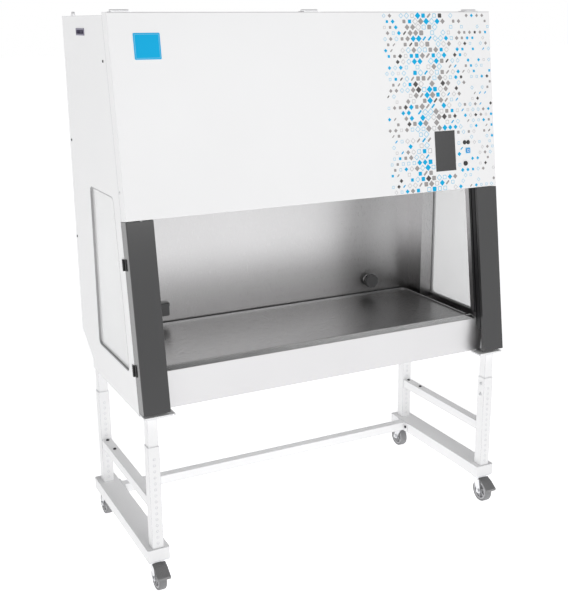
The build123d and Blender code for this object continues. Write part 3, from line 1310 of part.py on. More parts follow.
node("right_post_hinge_leaves", *moving_leaves)
node("left_post_hinge_leaves", *[other_side(leaf) for leaf in moving_leaves])
roof_leaves, panel_leaves = panel_hinges()
node("panel_hinge_fixed_leaves", *roof_leaves)
node("panel_hinge_moving_leaves", *panel_leaves)
node("sash_guides", sash_guide(), other_side(sash_guide()))
node("sash_glass", sash_glass())
node("sash_trim", *sash_trim())
node("sash_drive_shaft", sash_drive_shaft())
node("sash_idlers", sash_idler(-1), sash_idler(1))
node("sash_belts", sash_belt(-1), sash_belt(1))
node("sash_motor", sash_motor())
node("supply_filter", filter_cell(SUPPLY_WIDTH, SUPPLY_HEIGHT, SUPPLY_Y, SUPPLY_Z))
node("exhaust_filter", filter_cell(EXHAUST_WIDTH, EXHAUST_HEIGHT, EXHAUST_Y, EXHAUST_Z))
node("blower_plenum", blower_plenum(), blower_motor())
node("blower_impeller", blower_impeller())
node("lamp_unit", lamp_unit())
node("service_valve", service_valve())
node("valve_knob", valve_knob())
node("socket_outlet", socket_outlet())
node("socket_flap", socket_flap())
node("power_inlet", power_inlet())
node("cabinet_screws", *cabinet_screws())

os.makedirs("parts", exist_ok=True)
for name, shape in NODES.items():
    export_step(shape, "parts/" + name + ".step")
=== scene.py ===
import math
import random

import bpy
import bmesh
from mathutils import Matrix, Vector


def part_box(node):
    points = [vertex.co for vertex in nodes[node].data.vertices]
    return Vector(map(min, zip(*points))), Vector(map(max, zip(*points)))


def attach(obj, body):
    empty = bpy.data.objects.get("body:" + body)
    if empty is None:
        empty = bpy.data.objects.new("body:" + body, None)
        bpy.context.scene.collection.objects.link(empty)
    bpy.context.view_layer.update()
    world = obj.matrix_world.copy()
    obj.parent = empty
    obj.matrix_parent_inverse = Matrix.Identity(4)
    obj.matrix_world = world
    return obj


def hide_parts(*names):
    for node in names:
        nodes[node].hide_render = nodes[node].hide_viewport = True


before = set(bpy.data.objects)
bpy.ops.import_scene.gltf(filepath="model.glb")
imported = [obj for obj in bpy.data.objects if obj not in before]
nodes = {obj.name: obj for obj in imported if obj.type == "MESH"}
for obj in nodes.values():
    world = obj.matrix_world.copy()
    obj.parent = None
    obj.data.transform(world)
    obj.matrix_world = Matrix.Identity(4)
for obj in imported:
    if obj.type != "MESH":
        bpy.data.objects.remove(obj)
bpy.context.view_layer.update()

# Lengths are in metres. X runs to the right, Y to the back and Z up.
UNIT = (0.0, 1.0)


def add_object(name, data):
    """A new object of the scene, with the given mesh, lamp or camera."""
    added = bpy.data.objects.new(name, data)
    bpy.context.collection.objects.link(added)
    return added


# ---------------------------------------------------------------- material tools
IOR = 1.5
FINE_DETAIL = 4.0
PATCH_SCALE = 3.0               # broad patches, about a third of a metre wide
NOISE_MIDDLE = (0.3, 0.7)       # most of the noise lies between these values
PAINTED_SHADE_TONE = (0.16, 0.155, 0.155)     # colour of the painted shade on the chamber's steel next to the tray
CORNER_COSINE = (0.995, 0.80)   # of the true and rounded normals, from flat to a full corner
EDGE_SAMPLES = 4


def new_material(name):
    """A new node material, with its tree and its shader."""
    look = bpy.data.materials.new(name)
    look.use_nodes = True
    tree = look.node_tree
    return look, tree, tree.nodes["Principled BSDF"]


def noise(tree, vector, scale, detail=2.0):
    """Noise between 0 and 1 over the given coordinates."""
    texture = tree.nodes.new("ShaderNodeTexNoise")
    texture.inputs["Scale"].default_value = scale
    texture.inputs["Detail"].default_value = detail
    tree.links.new(vector, texture.inputs["Vector"])
    return texture.outputs["Fac"]


def map_range(tree, source, given, wanted, smooth=False):
    """Maps a value from the given low and high to the wanted low and high."""
    node = tree.nodes.new("ShaderNodeMapRange")
    if smooth:
        node.interpolation_type = "SMOOTHSTEP"
    for socket, value in zip(("From Min", "From Max", "To Min", "To Max"), (*given, *wanted)):
        node.inputs[socket].default_value = value
    tree.links.new(source, node.inputs["Value"])
    return node.outputs["Result"]


def mix_colours(tree, factor, first, second):
    """Mixes from the first colour, which may be a socket, to the second."""
    mix = tree.nodes.new("ShaderNodeMix")
    mix.data_type = "RGBA"
    if isinstance(first, bpy.types.NodeSocket):
        tree.links.new(first, mix.inputs["A"])
    else:
        mix.inputs["A"].default_value = (*first, 1)
    mix.inputs["B"].default_value = (*second, 1)
    tree.links.new(factor, mix.inputs["Factor"])
    return mix.outputs["Result"]


def shaded_foot(tree, colour, coords, low, high, amount):
    """Paints shade into the colour: darker by amount at the height low, fading to nothing at the height high.
    """
    split = tree.nodes.new("ShaderNodeSeparateXYZ")
    tree.links.new(coords, split.inputs["Vector"])
    painted_shade = map_range(tree, split.outputs["Z"], (low, high), (amount, 0.0), smooth=True)
    return mix_colours(tree, painted_shade, colour, PAINTED_SHADE_TONE)


def painted_edge_shade(tree, colour, edge, width):
    """Paints shade into the colour within width of a corner, where a rounded edge turns from the light."""
    bevel = tree.nodes.new("ShaderNodeBevel")
    bevel.samples = EDGE_SAMPLES
    bevel.inputs["Radius"].default_value = width
    flat = tree.nodes.new("ShaderNodeNewGeometry")
    cosine = tree.nodes.new("ShaderNodeVectorMath")
    cosine.operation = "DOT_PRODUCT"
    tree.links.new(bevel.outputs["Normal"], cosine.inputs[0])
    tree.links.new(flat.outputs["Normal"], cosine.inputs[1])
    amount = map_range(tree, cosine.outputs["Value"], CORNER_COSINE, UNIT)
    return mix_colours(tree, amount, colour, edge)


def material(name, base, rough, metallic=0.0, *, scale, bump, vary, depth=0.0002, rough_vary=0.05,
             stretch=(1, 1, 1), in_patches=True, specular=None, coat=0.0, coat_rough=0.1,
             shade=None, edge=None, edge_shade_width=0.003):
    """A finish whose colour, roughness and bump follow a noise over the object.

    scale, stretch, bump and depth set the fine grain. The colour goes up and down by the share vary, in broad
    patches or with the grain. shade holds the heights and the amount of the painted shade from shaded_foot,
    and edge the colour of the painted shade along corners from painted_edge_shade.
    """
    look, tree, shader = new_material(name)
    shader.inputs["Metallic"].default_value = metallic
    shader.inputs["IOR"].default_value = IOR
    if coat:
        shader.inputs["Coat Weight"].default_value = coat
        shader.inputs["Coat Roughness"].default_value = coat_rough
    if specular is not None:
        shader.inputs["Specular IOR Level"].default_value = specular
    coords = tree.nodes.new("ShaderNodeTexCoord").outputs["Object"]
    mapping = tree.nodes.new("ShaderNodeMapping")
    mapping.inputs["Scale"].default_value = stretch
    tree.links.new(coords, mapping.inputs["Vector"])
    grain = noise(tree, mapping.outputs["Vector"], scale, FINE_DETAIL)

    patches = noise(tree, coords, PATCH_SCALE) if in_patches else grain
    darker = [value * (1 - vary) for value in base]
    paler = [min(1.0, value * (1 + vary)) for value in base]
    colour = mix_colours(tree, map_range(tree, patches, NOISE_MIDDLE, UNIT), darker, paler)
    if shade:
        colour = shaded_foot(tree, colour, coords, *shade)
    # painted shade along corners, where a rounded edge turns from the light
    if edge:
        colour = painted_edge_shade(tree, colour, edge, edge_shade_width)
    tree.links.new(colour, shader.inputs["Base Color"])

    gloss = map_range(tree, grain, NOISE_MIDDLE, (rough - rough_vary, rough + rough_vary))
    tree.links.new(gloss, shader.inputs["Roughness"])
    relief = tree.nodes.new("ShaderNodeBump")
    relief.inputs["Strength"].default_value = bump
    relief.inputs["Distance"].default_value = depth
    tree.links.new(grain, relief.inputs["Height"])
    tree.links.new(relief.outputs["Normal"], shader.inputs["Normal"])
    return look


GLASS_TURN = (0.40, 0.75)       # from nearly square on to nearly edge on
GLASS_ROUGH = (0.05, 0.06)
GLASS_PATCH_SCALE = 6.0
GLASS_DULLEST = 0.985


def glass_material(name, tint, clear, grazing):
    """Thin glass sheet, clear when seen square on and milky at a grazing angle."""
    look, tree, shader = new_material(name)
    shader.inputs["IOR"].default_value = IOR
    weight = tree.nodes.new("ShaderNodeLayerWeight")
    milk = map_range(tree, weight.outputs["Facing"], GLASS_TURN, (clear, grazing))
    tree.links.new(milk, shader.inputs["Alpha"])
    coords = tree.nodes.new("ShaderNodeTexCoord").outputs["Object"]
    patches = noise(tree, coords, GLASS_PATCH_SCALE)
    duller = [value * GLASS_DULLEST for value in tint]
    tree.links.new(mix_colours(tree, patches, tint, duller), shader.inputs["Base Color"])
    tree.links.new(map_range(tree, patches, UNIT, GLASS_ROUGH), shader.inputs["Roughness"])
    return look


# ---------------------------------------------------------------- painted and bare metal
BRUSHED_ACROSS = (0.02, 1.0, 1.0)
BRUSHED_UPRIGHT = (1.0, 1.0, 0.02)

# edge paints a grey line of shade along the corners of the white coat
WHITE = material("white_powder_coat", (0.83, 0.83, 0.832), 0.42, scale=1400.0, bump=0.10, depth=0.00008,
                 vary=0.008, edge=(0.50, 0.51, 0.53), edge_shade_width=0.0035)
GREY = material("grey_powder_coat", (0.024, 0.024, 0.025), 0.36, scale=1500.0, bump=0.12, depth=0.00006,
                vary=0.05, coat=1.0, coat_rough=0.16, specular=0.25)
BASIN_STEEL = material("brushed_steel_along_x", (0.60, 0.595, 0.595), 0.32, 1.0, stretch=BRUSHED_ACROSS,
                       scale=1600.0, bump=0.06, depth=0.00005, vary=0.02, rough_vary=0.07)
# painted shade: the tray is given a darker steel than the rest, standing for the dark ceiling it reflects
SHADED_TRAY_STEEL = material("shaded_tray_steel", (0.37, 0.368, 0.37), 0.30, 1.0, stretch=BRUSHED_ACROSS,
                      scale=1600.0, bump=0.06, depth=0.00005, vary=0.03, rough_vary=0.07)
SILL_STEEL = material("sill_steel", (0.69, 0.685, 0.69), 0.36, 0.8, stretch=BRUSHED_ACROSS,
                      scale=1600.0, bump=0.05, depth=0.00004, vary=0.015, rough_vary=0.06)
# painted shade: the liner's steel is painted darker towards the tray, where it lies in shade and reflects the
# dark tray
LINER_STEEL = material("liner_steel", (0.65, 0.645, 0.648), 0.32, 1.0, stretch=BRUSHED_UPRIGHT,
                       scale=1600.0, bump=0.06, depth=0.00005, vary=0.02, rough_vary=0.07,
                       shade=(0.88, 1.22, 0.68))
# painted highlight: the grille's steel is whitened past the other steel so that its bars read as bright lines
PAINTED_HIGHLIGHT_GRILLE_STEEL = material("painted_highlight_grille_steel", (1.0, 1.0, 1.0), 0.22, 0.75, scale=1200.0, bump=0.05, depth=0.00003,
                        vary=0.02)
SHINY = material("bright_steel", (0.70, 0.70, 0.70), 0.22, 1.0, stretch=(0.05, 1.0, 1.0), scale=1200.0,
                 bump=0.05, depth=0.00004, vary=0.02)
PALE_METAL = material("pale_zinc", (0.88, 0.88, 0.89), 0.34, 0.4, scale=900.0, bump=0.05, depth=0.00004,
                      vary=0.03)
ZINC = material("zinc_plated_steel", (0.74, 0.745, 0.76), 0.32, 0.9, scale=300.0, bump=0.03, depth=0.00003,
                vary=0.04, rough_vary=0.03)
GALVANISED = material("galvanised_sheet", (0.55, 0.57, 0.58), 0.45, 1.0, scale=60.0, bump=0.02, vary=0.12,
                      in_patches=False)
ALUMINIUM = material("aluminium", (0.75, 0.76, 0.77), 0.35, 1.0, scale=900.0, bump=0.05, vary=0.04)
DARK_METAL = material("blackened_steel", (0.035, 0.035, 0.038), 0.42, 0.6, scale=1800.0, bump=0.12,
                      depth=0.00005, vary=0.15)

# ---------------------------------------------------------------- plastic, rubber, glass and paper
BLACK_PLASTIC = material("black_plastic", (0.012, 0.012, 0.013), 0.38, scale=2500.0, bump=0.15,
                         depth=0.00005, vary=0.1)
DARK_PLASTIC = material("dark_grey_plastic", (0.055, 0.055, 0.058), 0.45, scale=2200.0, bump=0.2,
                        depth=0.00006, vary=0.08)
SERVICE_PLASTIC = material("service_plastic", (0.085, 0.085, 0.087), 0.40, scale=2200.0, bump=0.2,
                           depth=0.00006, vary=0.08)
PALE_PLASTIC = material("pale_plastic", (0.62, 0.63, 0.64), 0.40, scale=2000.0, bump=0.1, depth=0.00005,
                        vary=0.03)
PEDAL = material("pedal_plastic", (0.23, 0.23, 0.232), 0.34, scale=1600.0, bump=0.2, depth=0.00006, vary=0.06)
HUB = material("hub_plastic", (0.46, 0.46, 0.47), 0.42, scale=1800.0, bump=0.15, depth=0.00005, vary=0.04)
PLUG = material("white_plug", (0.80, 0.80, 0.81), 0.45, scale=1800.0, bump=0.1, depth=0.00004, vary=0.02)
INLET_GREY = material("violet_grey_plastic", (0.17, 0.155, 0.23), 0.42, scale=2000.0, bump=0.15,
                      depth=0.00005, vary=0.06)
BLUE = material("blue_button", (0.02, 0.30, 0.72), 0.25, scale=1500.0, bump=0.03, vary=0.03, coat=0.3)
SCREEN = material("display_glass", (0.026, 0.026, 0.027), 0.26, scale=1200.0, bump=0.02, vary=0.03, coat=0.1)
TREAD = material("grey_rubber", (0.23, 0.23, 0.235), 0.62, scale=1500.0, bump=0.3, depth=0.0001, vary=0.1)
RUBBER = material("black_rubber", (0.03, 0.03, 0.032), 0.6, scale=1800.0, bump=0.2, depth=0.00008, vary=0.1)
GASKET = material("gasket_rubber", (0.40, 0.40, 0.405), 0.55, scale=1800.0, bump=0.2, depth=0.00006,
                  vary=0.06)
PAPER = material("filter_paper", (0.82, 0.82, 0.78), 0.9, stretch=(1.0, 0.01, 1.0), scale=500.0, bump=0.6,
                 depth=0.002, vary=0.05, in_patches=False)
WINDOW_GLASS = glass_material("clear_glass", (0.88, 0.885, 0.885), clear=0.30, grazing=0.78)
SASH_GLASS = glass_material("sash_glass", (0.80, 0.86, 0.85), clear=0.12, grazing=0.4)

# ---------------------------------------------------------------- printing inks
CYAN = material("cyan_print", (0.001, 0.40, 0.72), 0.45, scale=1500.0, bump=0.04, depth=0.00003, vary=0.02,
                specular=0.12)
PRINT_GREY = material("grey_print", (0.30, 0.285, 0.28), 0.4, scale=1500.0, bump=0.04, depth=0.00003,
                      vary=0.03)
PRINT_DARK = material("dark_print", (0.045, 0.04, 0.04), 0.4, scale=1500.0, bump=0.04, depth=0.00003,
                      vary=0.05)
PRINT_PALE = material("pale_print", (0.46, 0.46, 0.465), 0.4, scale=1500.0, bump=0.04, depth=0.00003,
                      vary=0.03)
BLUE_LIGHT = material("pale_blue_print", (0.16, 0.52, 0.74), 0.3, scale=1500.0, bump=0.03, vary=0.03)

# ---------------------------------------------------------------- finish of each CAD node
CORNERS = ("front_left", "front_right", "rear_left", "rear_right")
LOOKS = {
    "left_side_frame": WHITE, "right_side_frame": WHITE, "rear_cross_rail": WHITE, "upper_frame": WHITE,
    "left_side_panel": WHITE, "right_side_panel": WHITE, "rear_panel": WHITE, "top_panel": WHITE,
    "base_pan": WHITE, "front_panel": WHITE, "lamp_unit": WHITE, "ceiling_diffuser": WHITE,
    "castor_plates": ZINC, "stand_screws": DARK_METAL, "cabinet_screws": DARK_METAL,
    "brake_pedal_front_left": PEDAL, "brake_pedal_front_right": PEDAL,
    "side_windows": WINDOW_GLASS, "window_gaskets": GASKET, "chamber_liner": LINER_STEEL,
    "drain_basin": BASIN_STEEL, "front_sill": SILL_STEEL, "air_grille": PAINTED_HIGHLIGHT_GRILLE_STEEL, "work_tray": SHADED_TRAY_STEEL,
    "control_module": SCREEN, "sash_up_button": BLACK_PLASTIC, "sash_down_button": BLACK_PLASTIC,
    "light_button": BLUE, "key_switch": BLACK_PLASTIC,
    "left_post_cover": GREY, "right_post_cover": GREY, "post_hinge_fixed_leaves": BLACK_PLASTIC,
    "left_post_hinge_leaves": BLACK_PLASTIC, "right_post_hinge_leaves": BLACK_PLASTIC,
    "panel_hinge_fixed_leaves": PALE_METAL, "panel_hinge_moving_leaves": PALE_METAL,
    "sash_glass": SASH_GLASS, "sash_trim": DARK_PLASTIC, "sash_guides": BLACK_PLASTIC,
    "sash_drive_shaft": ZINC, "sash_idlers": ZINC, "sash_belts": RUBBER, "sash_motor": DARK_METAL,
    "supply_filter": PAPER, "exhaust_filter": PAPER, "blower_plenum": GALVANISED,
    "blower_impeller": ALUMINIUM, "service_valve": SHINY, "valve_knob": SERVICE_PLASTIC,
    "socket_outlet": SERVICE_PLASTIC, "socket_flap": SERVICE_PLASTIC, "power_inlet": INLET_GREY,
}
for corner in CORNERS:
    LOOKS["castor_fork_" + corner] = ZINC
    LOOKS["castor_wheel_" + corner] = TREAD
for name, node in nodes.items():
    node.data.materials.clear()
    node.data.materials.append(LOOKS[name])

# ---------------------------------------------------------------- mesh tools
ALONG_X = Matrix.Rotation(math.pi / 2, 4, "Y")      # turns Z to X
TO_FRONT = Matrix.Rotation(math.pi / 2, 4, "X")     # turns Z to the front
BEVEL_FROM, BEVEL_SEGMENTS = math.radians(40), 2


def rounded(width, height, radius, steps=5):
    """Corner-rounded rectangle about the middle."""
    points = []
    for quarter, (sx, sy) in enumerate(((1, 1), (-1, 1), (-1, -1), (1, -1))):
        for step in range(steps + 1):
            angle = math.pi / 2 * (quarter + step / steps)
            points.append((sx * (width / 2 - radius) + radius * math.cos(angle),
                           sy * (height / 2 - radius) + radius * math.sin(angle)))
    return points


def regular(count, radius, turn=0.0):
    """Regular polygon about the middle."""
    angles = [turn + 2 * math.pi * index / count for index in range(count)]
    return [(radius * math.cos(angle), radius * math.sin(angle)) for angle in angles]


def mirrored(profile):
    """A profile of (radius, along) with its mirror image on the other side of the middle."""
    return profile + [(radius, -along) for radius, along in reversed(profile)]


class Piece:
    """Mesh code for one rigid piece."""

    def __init__(self, name):
        self.name = name
        self.mesh = bmesh.new()

    def join(self, ring, other):
        """Faces between two closed rings with as many points each."""
        count = len(ring)
        for here in range(count):
            there = (here + 1) % count
            self.mesh.faces.new((ring[here], ring[there], other[there], other[here]))

    def loft(self, *outlines):
        """A closed solid through a row of outlines with as many points each."""
        rings = [[self.mesh.verts.new(point) for point in outline] for outline in outlines]
        for ring, other in zip(rings, rings[1:]):
            self.join(ring, other)
        self.mesh.faces.new(rings[0][::-1])
        self.mesh.faces.new(rings[-1])

    def prism(self, points, low, high, place=Matrix()):
        """A flat outline stretched from low to high along the Z of its place."""
        self.loft(*[[place @ Vector((x, y, z)) for x, y in points] for z in (low, high)])

    def box(self, lows, highs):
        """A square-edged block between its lowest and highest corner."""
        points = [(lows[0], lows[1]), (highs[0], lows[1]), (highs[0], highs[1]), (lows[0], highs[1])]
        self.prism(points, lows[2], highs[2])

    def frame(self, outer, inner, low, high, place=Matrix()):
        """A flat ring between two outlines with as many points each."""
        rings = [[self.mesh.verts.new(place @ Vector((x, y, z))) for x, y in points]
                 for points, z in ((outer, low), (outer, high), (inner, high), (inner, low))]
        for ring, other in zip(rings, rings[1:] + rings[:1]):
            self.join(ring, other)

    def lathe(self, profile, place, steps=48):
        """A closed profile of (radius, along) turned about the Z of its place."""
        rings = []
        for x, y in regular(steps, 1.0):
            rings.append([self.mesh.verts.new(place @ Vector((radius * x, radius * y, along)))
                          for radius, along in profile])
        for ring, other in zip(rings, rings[1:] + rings[:1]):
            self.join(ring, other)

    def turned(self, profile, place, steps=24):
        """An open profile of (radius, along, flats) from axis to axis; six flats give a hexagon."""
        rings = []
        for radius, along, flats in profile[1:-1]:
            ring = []
            for step in range(steps):
                angle = 2 * math.pi * step / steps
                reach = radius
                if flats:
                    sector = 2 * math.pi / flats
                    reach = radius / math.cos((angle % sector) - sector / 2)
                point = Vector((reach * math.cos(angle), reach * math.sin(angle), along))
                ring.append(self.mesh.verts.new(place @ point))
            rings.append(ring)
        for ring, other in zip(rings, rings[1:]):
            self.join(ring, other)
        for (_, along, _), ring in ((profile[0], rings[0]), (profile[-1], rings[-1])):
            middle = self.mesh.verts.new(place @ Vector((0, 0, along)))
            for point, following in zip(ring, ring[1:] + ring[:1]):
                self.mesh.faces.new((middle, point, following))

    def finish(self, look, body, slot, replaces=(), smooth_under=32.0, bevel=0.0):
        """Makes the object, gives it its finish and lets it ride on its body.

        Faces that meet at less than smooth_under degrees are shaded smooth. bevel is the width of the rounded
        edges.
        """
        bmesh.ops.recalc_face_normals(self.mesh, faces=self.mesh.faces)
        mesh = bpy.data.meshes.new(self.name)
        self.mesh.to_mesh(mesh)
        self.mesh.free()
        for face in mesh.polygons:
            face.use_smooth = True
        mesh.set_sharp_from_angle(angle=math.radians(smooth_under))
        mesh.materials.append(look)
        piece = add_object(self.name, mesh)
        if bevel:
            rounding = piece.modifiers.new("edges", "BEVEL")
            rounding.width = bevel
            rounding.segments = BEVEL_SEGMENTS
            rounding.limit_method = "ANGLE"
            rounding.angle_limit = BEVEL_FROM
            rounding.harden_normals = True
        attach(piece, body)
        if replaces:
            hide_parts(*replaces)


# ---------------------------------------------------------------- the sloping front
TILT = math.radians(8.2)
SIN, COS = math.sin(TILT), math.cos(TILT)
FOOT_Y, FOOT_Z = -0.39025, 0.745    # foot of the sloping front
HALF_WIDTH = 0.825                  # of the front panel's printed face

# Middle of each control: X, and the length up the slope.
DISPLAY = (0.568, 0.876)
UP_BUTTON = (0.668, 0.9055)
DOWN_BUTTON = (0.686, 0.9055)
LIGHT_BUTTON = (0.683, 0.871)
KEY_SWITCH = (0.668, 0.818)
CORNER_PLATE = (-0.68575, 1.3219)


def on_front(x, rise):
    """Frame on the sloping front: X across, Y up the slope, Z out of the face."""
    turn = Matrix(((1, 0, 0), (0, SIN, -COS), (0, COS, SIN))).to_4x4()
    return Matrix.Translation((x, FOOT_Y + rise * SIN, FOOT_Z + rise * COS)) @ turn


# ---------------------------------------------------------------- printed pattern on the front panel
PATTERN_SEED = 4127
PATTERN_X = (0.290, 0.820)
PATTERN_RISE = (0.7235, 1.4340)
PITCH_X, PITCH_RISE = 0.0268, 0.0226
PATTERN_MARGIN = 0.004
SMALLEST, SWELL = 0.0125, 0.0120            # size of the figures and how much they grow at the crown
CROWN_PLACE, CROWN_WIDTH = 0.40, 0.24       # as shares of the pattern's width
PRINT = 0.00022                             # thickness of the ink on either side of the face
THIN_STROKE = 0.0015
DISPLAY_CLEAR = (0.050, 0.0825)
BUTTONS_CLEAR = ((UP_BUTTON, 0.017), (DOWN_BUTTON, 0.017), (LIGHT_BUTTON, 0.020), (KEY_SWITCH, 0.018))
INKS = {"cyan": CYAN, "grey": PRINT_GREY, "dark": PRINT_DARK, "pale_cyan": BLUE_LIGHT,
        "pale_grey": PRINT_PALE}
SIZE_SPREAD = (0.72, 1.0)
GAPS, MORE_GAPS = 0.10, 0.16                # share of empty places at the crown, and how much it grows
OPEN_SHARE = 0.40
OPEN_KINDS = ((0.55, "open_diamond"), (1.0, "open_square"))
OPEN_INKS = ((0.62, "pale_cyan"), (1.0, "pale_grey"))
SOLID_KINDS = ((0.5, "diamond"), (0.8, "square"), (1.0, "bar"))
SOLID_INKS = ((0.66, "cyan"), (0.91, "grey"), (1.0, "dark"))


def clear_of_controls(x, rise, reach):
    """Whether a figure of this reach stays off the display, the buttons and the key switch."""
    beside, above = abs(x - DISPLAY[0]), abs(rise - DISPLAY[1])
    if beside < DISPLAY_CLEAR[0] + reach and above < DISPLAY_CLEAR[1] + reach:
        return False
    return all(math.dist((x, rise), middle) > radius + reach for middle, radius in BUTTONS_CLEAR)


def pick(value, choices):
    """The first choice whose limit lies above the value."""
    return next(choice for limit, choice in choices if value < limit)


def motif(piece, kind, x, rise, size):
    """One small printed figure: solid or open diamond, square or bar. Its parts are shares of its size."""
    place = on_front(x, rise)
    stroke = max(THIN_STROKE, 0.10 * size)
    if kind == "diamond":
        piece.prism(regular(4, 0.60 * size), -PRINT, PRINT, place)
    elif kind == "square":
        piece.prism(rounded(0.80 * size, 0.80 * size, 0.14 * size, 3), -PRINT, PRINT, place)
    elif kind == "open_diamond":
        reach = 0.62 * size
        piece.frame(regular(4, reach), regular(4, reach - 1.42 * stroke), -PRINT, PRINT, place)
    elif kind == "open_square":
        outer = 0.82 * size
        inner = outer - 2 * stroke
        piece.frame(rounded(outer, outer, 0.14 * size, 3), rounded(inner, inner, 0.10 * size, 3),
                    -PRINT, PRINT, place)
    else:
        turn = place @ Matrix.Rotation(math.pi / 4, 4, "Z")
        piece.prism(rounded(size, 0.34 * size, 0.16 * size, 4), -PRINT, PRINT, turn)


def lattice():
    """Places of the staggered lattice, row by row up the slope."""
    low, high = PATTERN_RISE
    for row in range(math.ceil((high - low) / PITCH_RISE)):
        start = PATTERN_X[0] + (PITCH_X / 2 if row % 2 else 0.0)
        for column in range(math.ceil((PATTERN_X[1] - start) / PITCH_X)):
            yield start + column * PITCH_X, low + row * PITCH_RISE


def printed_pattern():
    """Figures that are larger and denser in a band up the pattern, thinning out on both sides."""
    draw = random.Random(PATTERN_SEED)
    prints = {ink: Piece("pattern_" + ink) for ink in INKS}
    left, right = PATTERN_X
    for x, rise in lattice():
        crown = math.exp(-(((x - left) / (right - left) - CROWN_PLACE) / CROWN_WIDTH) ** 2)
        size = SMALLEST + SWELL * crown * draw.uniform(*SIZE_SPREAD)
        chance = draw.random()
        shape = draw.random()
        skip = draw.random() < GAPS + MORE_GAPS * (1 - crown)
        reach = 0.6 * size
        cut = x - reach < left - PATTERN_MARGIN or x + reach > HALF_WIDTH - PATTERN_MARGIN
        if skip or cut or not clear_of_controls(x, rise, 0.62 * size):
            continue
        if chance < OPEN_SHARE:
            ink = pick(draw.random(), OPEN_INKS)
            kind = pick(shape, OPEN_KINDS)
        else:
            ink = pick(chance, SOLID_INKS)
            kind = pick(shape, SOLID_KINDS)
        motif(prints[ink], kind, x, rise, size)
    for ink, piece in prints.items():
        piece.finish(INKS[ink], "front_panel_assembly", "white_powder_coat")


# ---------------------------------------------------------------- corner plate and controls
SINK = -0.0002                              # trim starts this far under the face
PLATE_WIDTH, PLATE_HEIGHT, PLATE_TOP = 0.0995, 0.0924, 0.0010
RIM_OUT, RIM_IN = 0.0080, 0.0110            # how much smaller than the plate the rim is, outside and inside
RIM_LOW, RIM_TOP = 0.0006, 0.0013
SCREEN_WIDTH, SCREEN_HEIGHT = 0.092, 0.157
SCREEN_LOW, SCREEN_TOP = 0.0006, 0.0016
MARK_REACH, MARK_LOW, MARK_TOP = 0.0036, 0.0026, 0.0033
BUTTON_RING, KEY_RING = 0.0089, 0.0102      # outer radii
RING_WIDTH, RING_TOP, RING_CHAMFER = 0.0013, 0.0013, 0.0005
FRAME_OUTER, FRAME_INNER, FRAME_TOP = 0.0240, 0.0188, 0.0012
LIGHT_OUTER, LIGHT_INNER, LIGHT_LOW, LIGHT_TOP = 0.0105, 0.0075, 0.0028, 0.0032


def corner_plate():
    """A bare coloured plate with a fine raised line inside its edge."""
    place = on_front(*CORNER_PLATE)
    plate = Piece("corner_plate")
    plate.prism(rounded(PLATE_WIDTH, PLATE_HEIGHT, 0.004), SINK, PLATE_TOP, place)
    plate.finish(CYAN, "front_panel_assembly", "blue_plastic", bevel=0.0004)
    rim = Piece("corner_plate_rim")
    rim.frame(rounded(PLATE_WIDTH - RIM_OUT, PLATE_HEIGHT - RIM_OUT, 0.003),
              rounded(PLATE_WIDTH - RIM_IN, PLATE_HEIGHT - RIM_IN, 0.002), RIM_LOW, RIM_TOP, place)
    rim.finish(BLUE_LIGHT, "front_panel_assembly", "blue_plastic")


def display_screen():
    """The dark glass of the display."""
    screen = Piece("display_screen")
    screen.prism(rounded(SCREEN_WIDTH, SCREEN_HEIGHT, 0.003), SCREEN_LOW, SCREEN_TOP, on_front(*DISPLAY))
    screen.finish(SCREEN, "front_panel_assembly", "display_black", bevel=0.0003)


def direction_mark(name, body, place, turn):
    """A raised triangle on a sash button."""
    mark = Piece(name)
    mark.prism(regular(3, MARK_REACH, turn), MARK_LOW, MARK_TOP, on_front(*place))
    mark.finish(DARK_PLASTIC, body, "dark_plastic", bevel=0.0001)


def control_ring(name, place, radius):
    """A collar round a button or the key switch."""
    inner = radius - RING_WIDTH
    ring = Piece(name)
    ring.lathe([(inner, SINK), (radius, SINK), (radius, RING_TOP - RING_CHAMFER),
                (radius - RING_CHAMFER, RING_TOP), (inner, RING_TOP)], on_front(*place))
    ring.finish(BLACK_PLASTIC, "front_panel_assembly", "dark_plastic")


def light_button_trim():
    """The blue frame round the light button and the open square on it."""
    place = on_front(*LIGHT_BUTTON)
    outline = Piece("light_button_frame")
    outline.frame(rounded(FRAME_OUTER, FRAME_OUTER, 0.004), rounded(FRAME_INNER, FRAME_INNER, 0.001),
                  SINK, FRAME_TOP, place)
    outline.finish(BLUE_LIGHT, "front_panel_assembly", "blue_plastic")
    mark = Piece("light_mark")
    mark.frame(rounded(LIGHT_OUTER, LIGHT_OUTER, 0.003), rounded(LIGHT_INNER, LIGHT_INNER, 0.002),
               LIGHT_LOW, LIGHT_TOP, place)
    mark.finish(PLUG, "lamp_button", "blue_plastic")


# ---------------------------------------------------------------- intake grille
grille_low, grille_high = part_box("air_grille")
GRILLE_HALF, GRILLE_TOP = grille_high.x, grille_high.z
GRILLE_FRONT, GRILLE_REAR = grille_low.y, grille_high.y
GRILLE_VALLEY = GRILLE_FRONT + 0.024
VALLEY_TOP = GRILLE_TOP - 0.012
REAR_TOP = GRILLE_TOP - 0.003
SHEET = 0.0018
SKIRT = 0.014                               # depth of the skirts below the sheet's upper face
SKIRT_GAP = 0.0012                          # their top edge lies this far below it
SLOT_PITCH = 0.0125
BAR = 0.0058
BAR_CROWN = ((1.0, 0.0), (0.93, 0.0013), (0.75, 0.0022), (0.5, 0.0026), (0.25, 0.0022), (0.07, 0.0013),
             (0.0, 0.0))
LAND = 0.0060                               # unslotted strip along each fold and end
OVERLAP = 0.0005                            # bars reach this far into the strips
END_MARGIN = 0.02
SLANT = math.tan(math.radians(25))          # of the rear bars


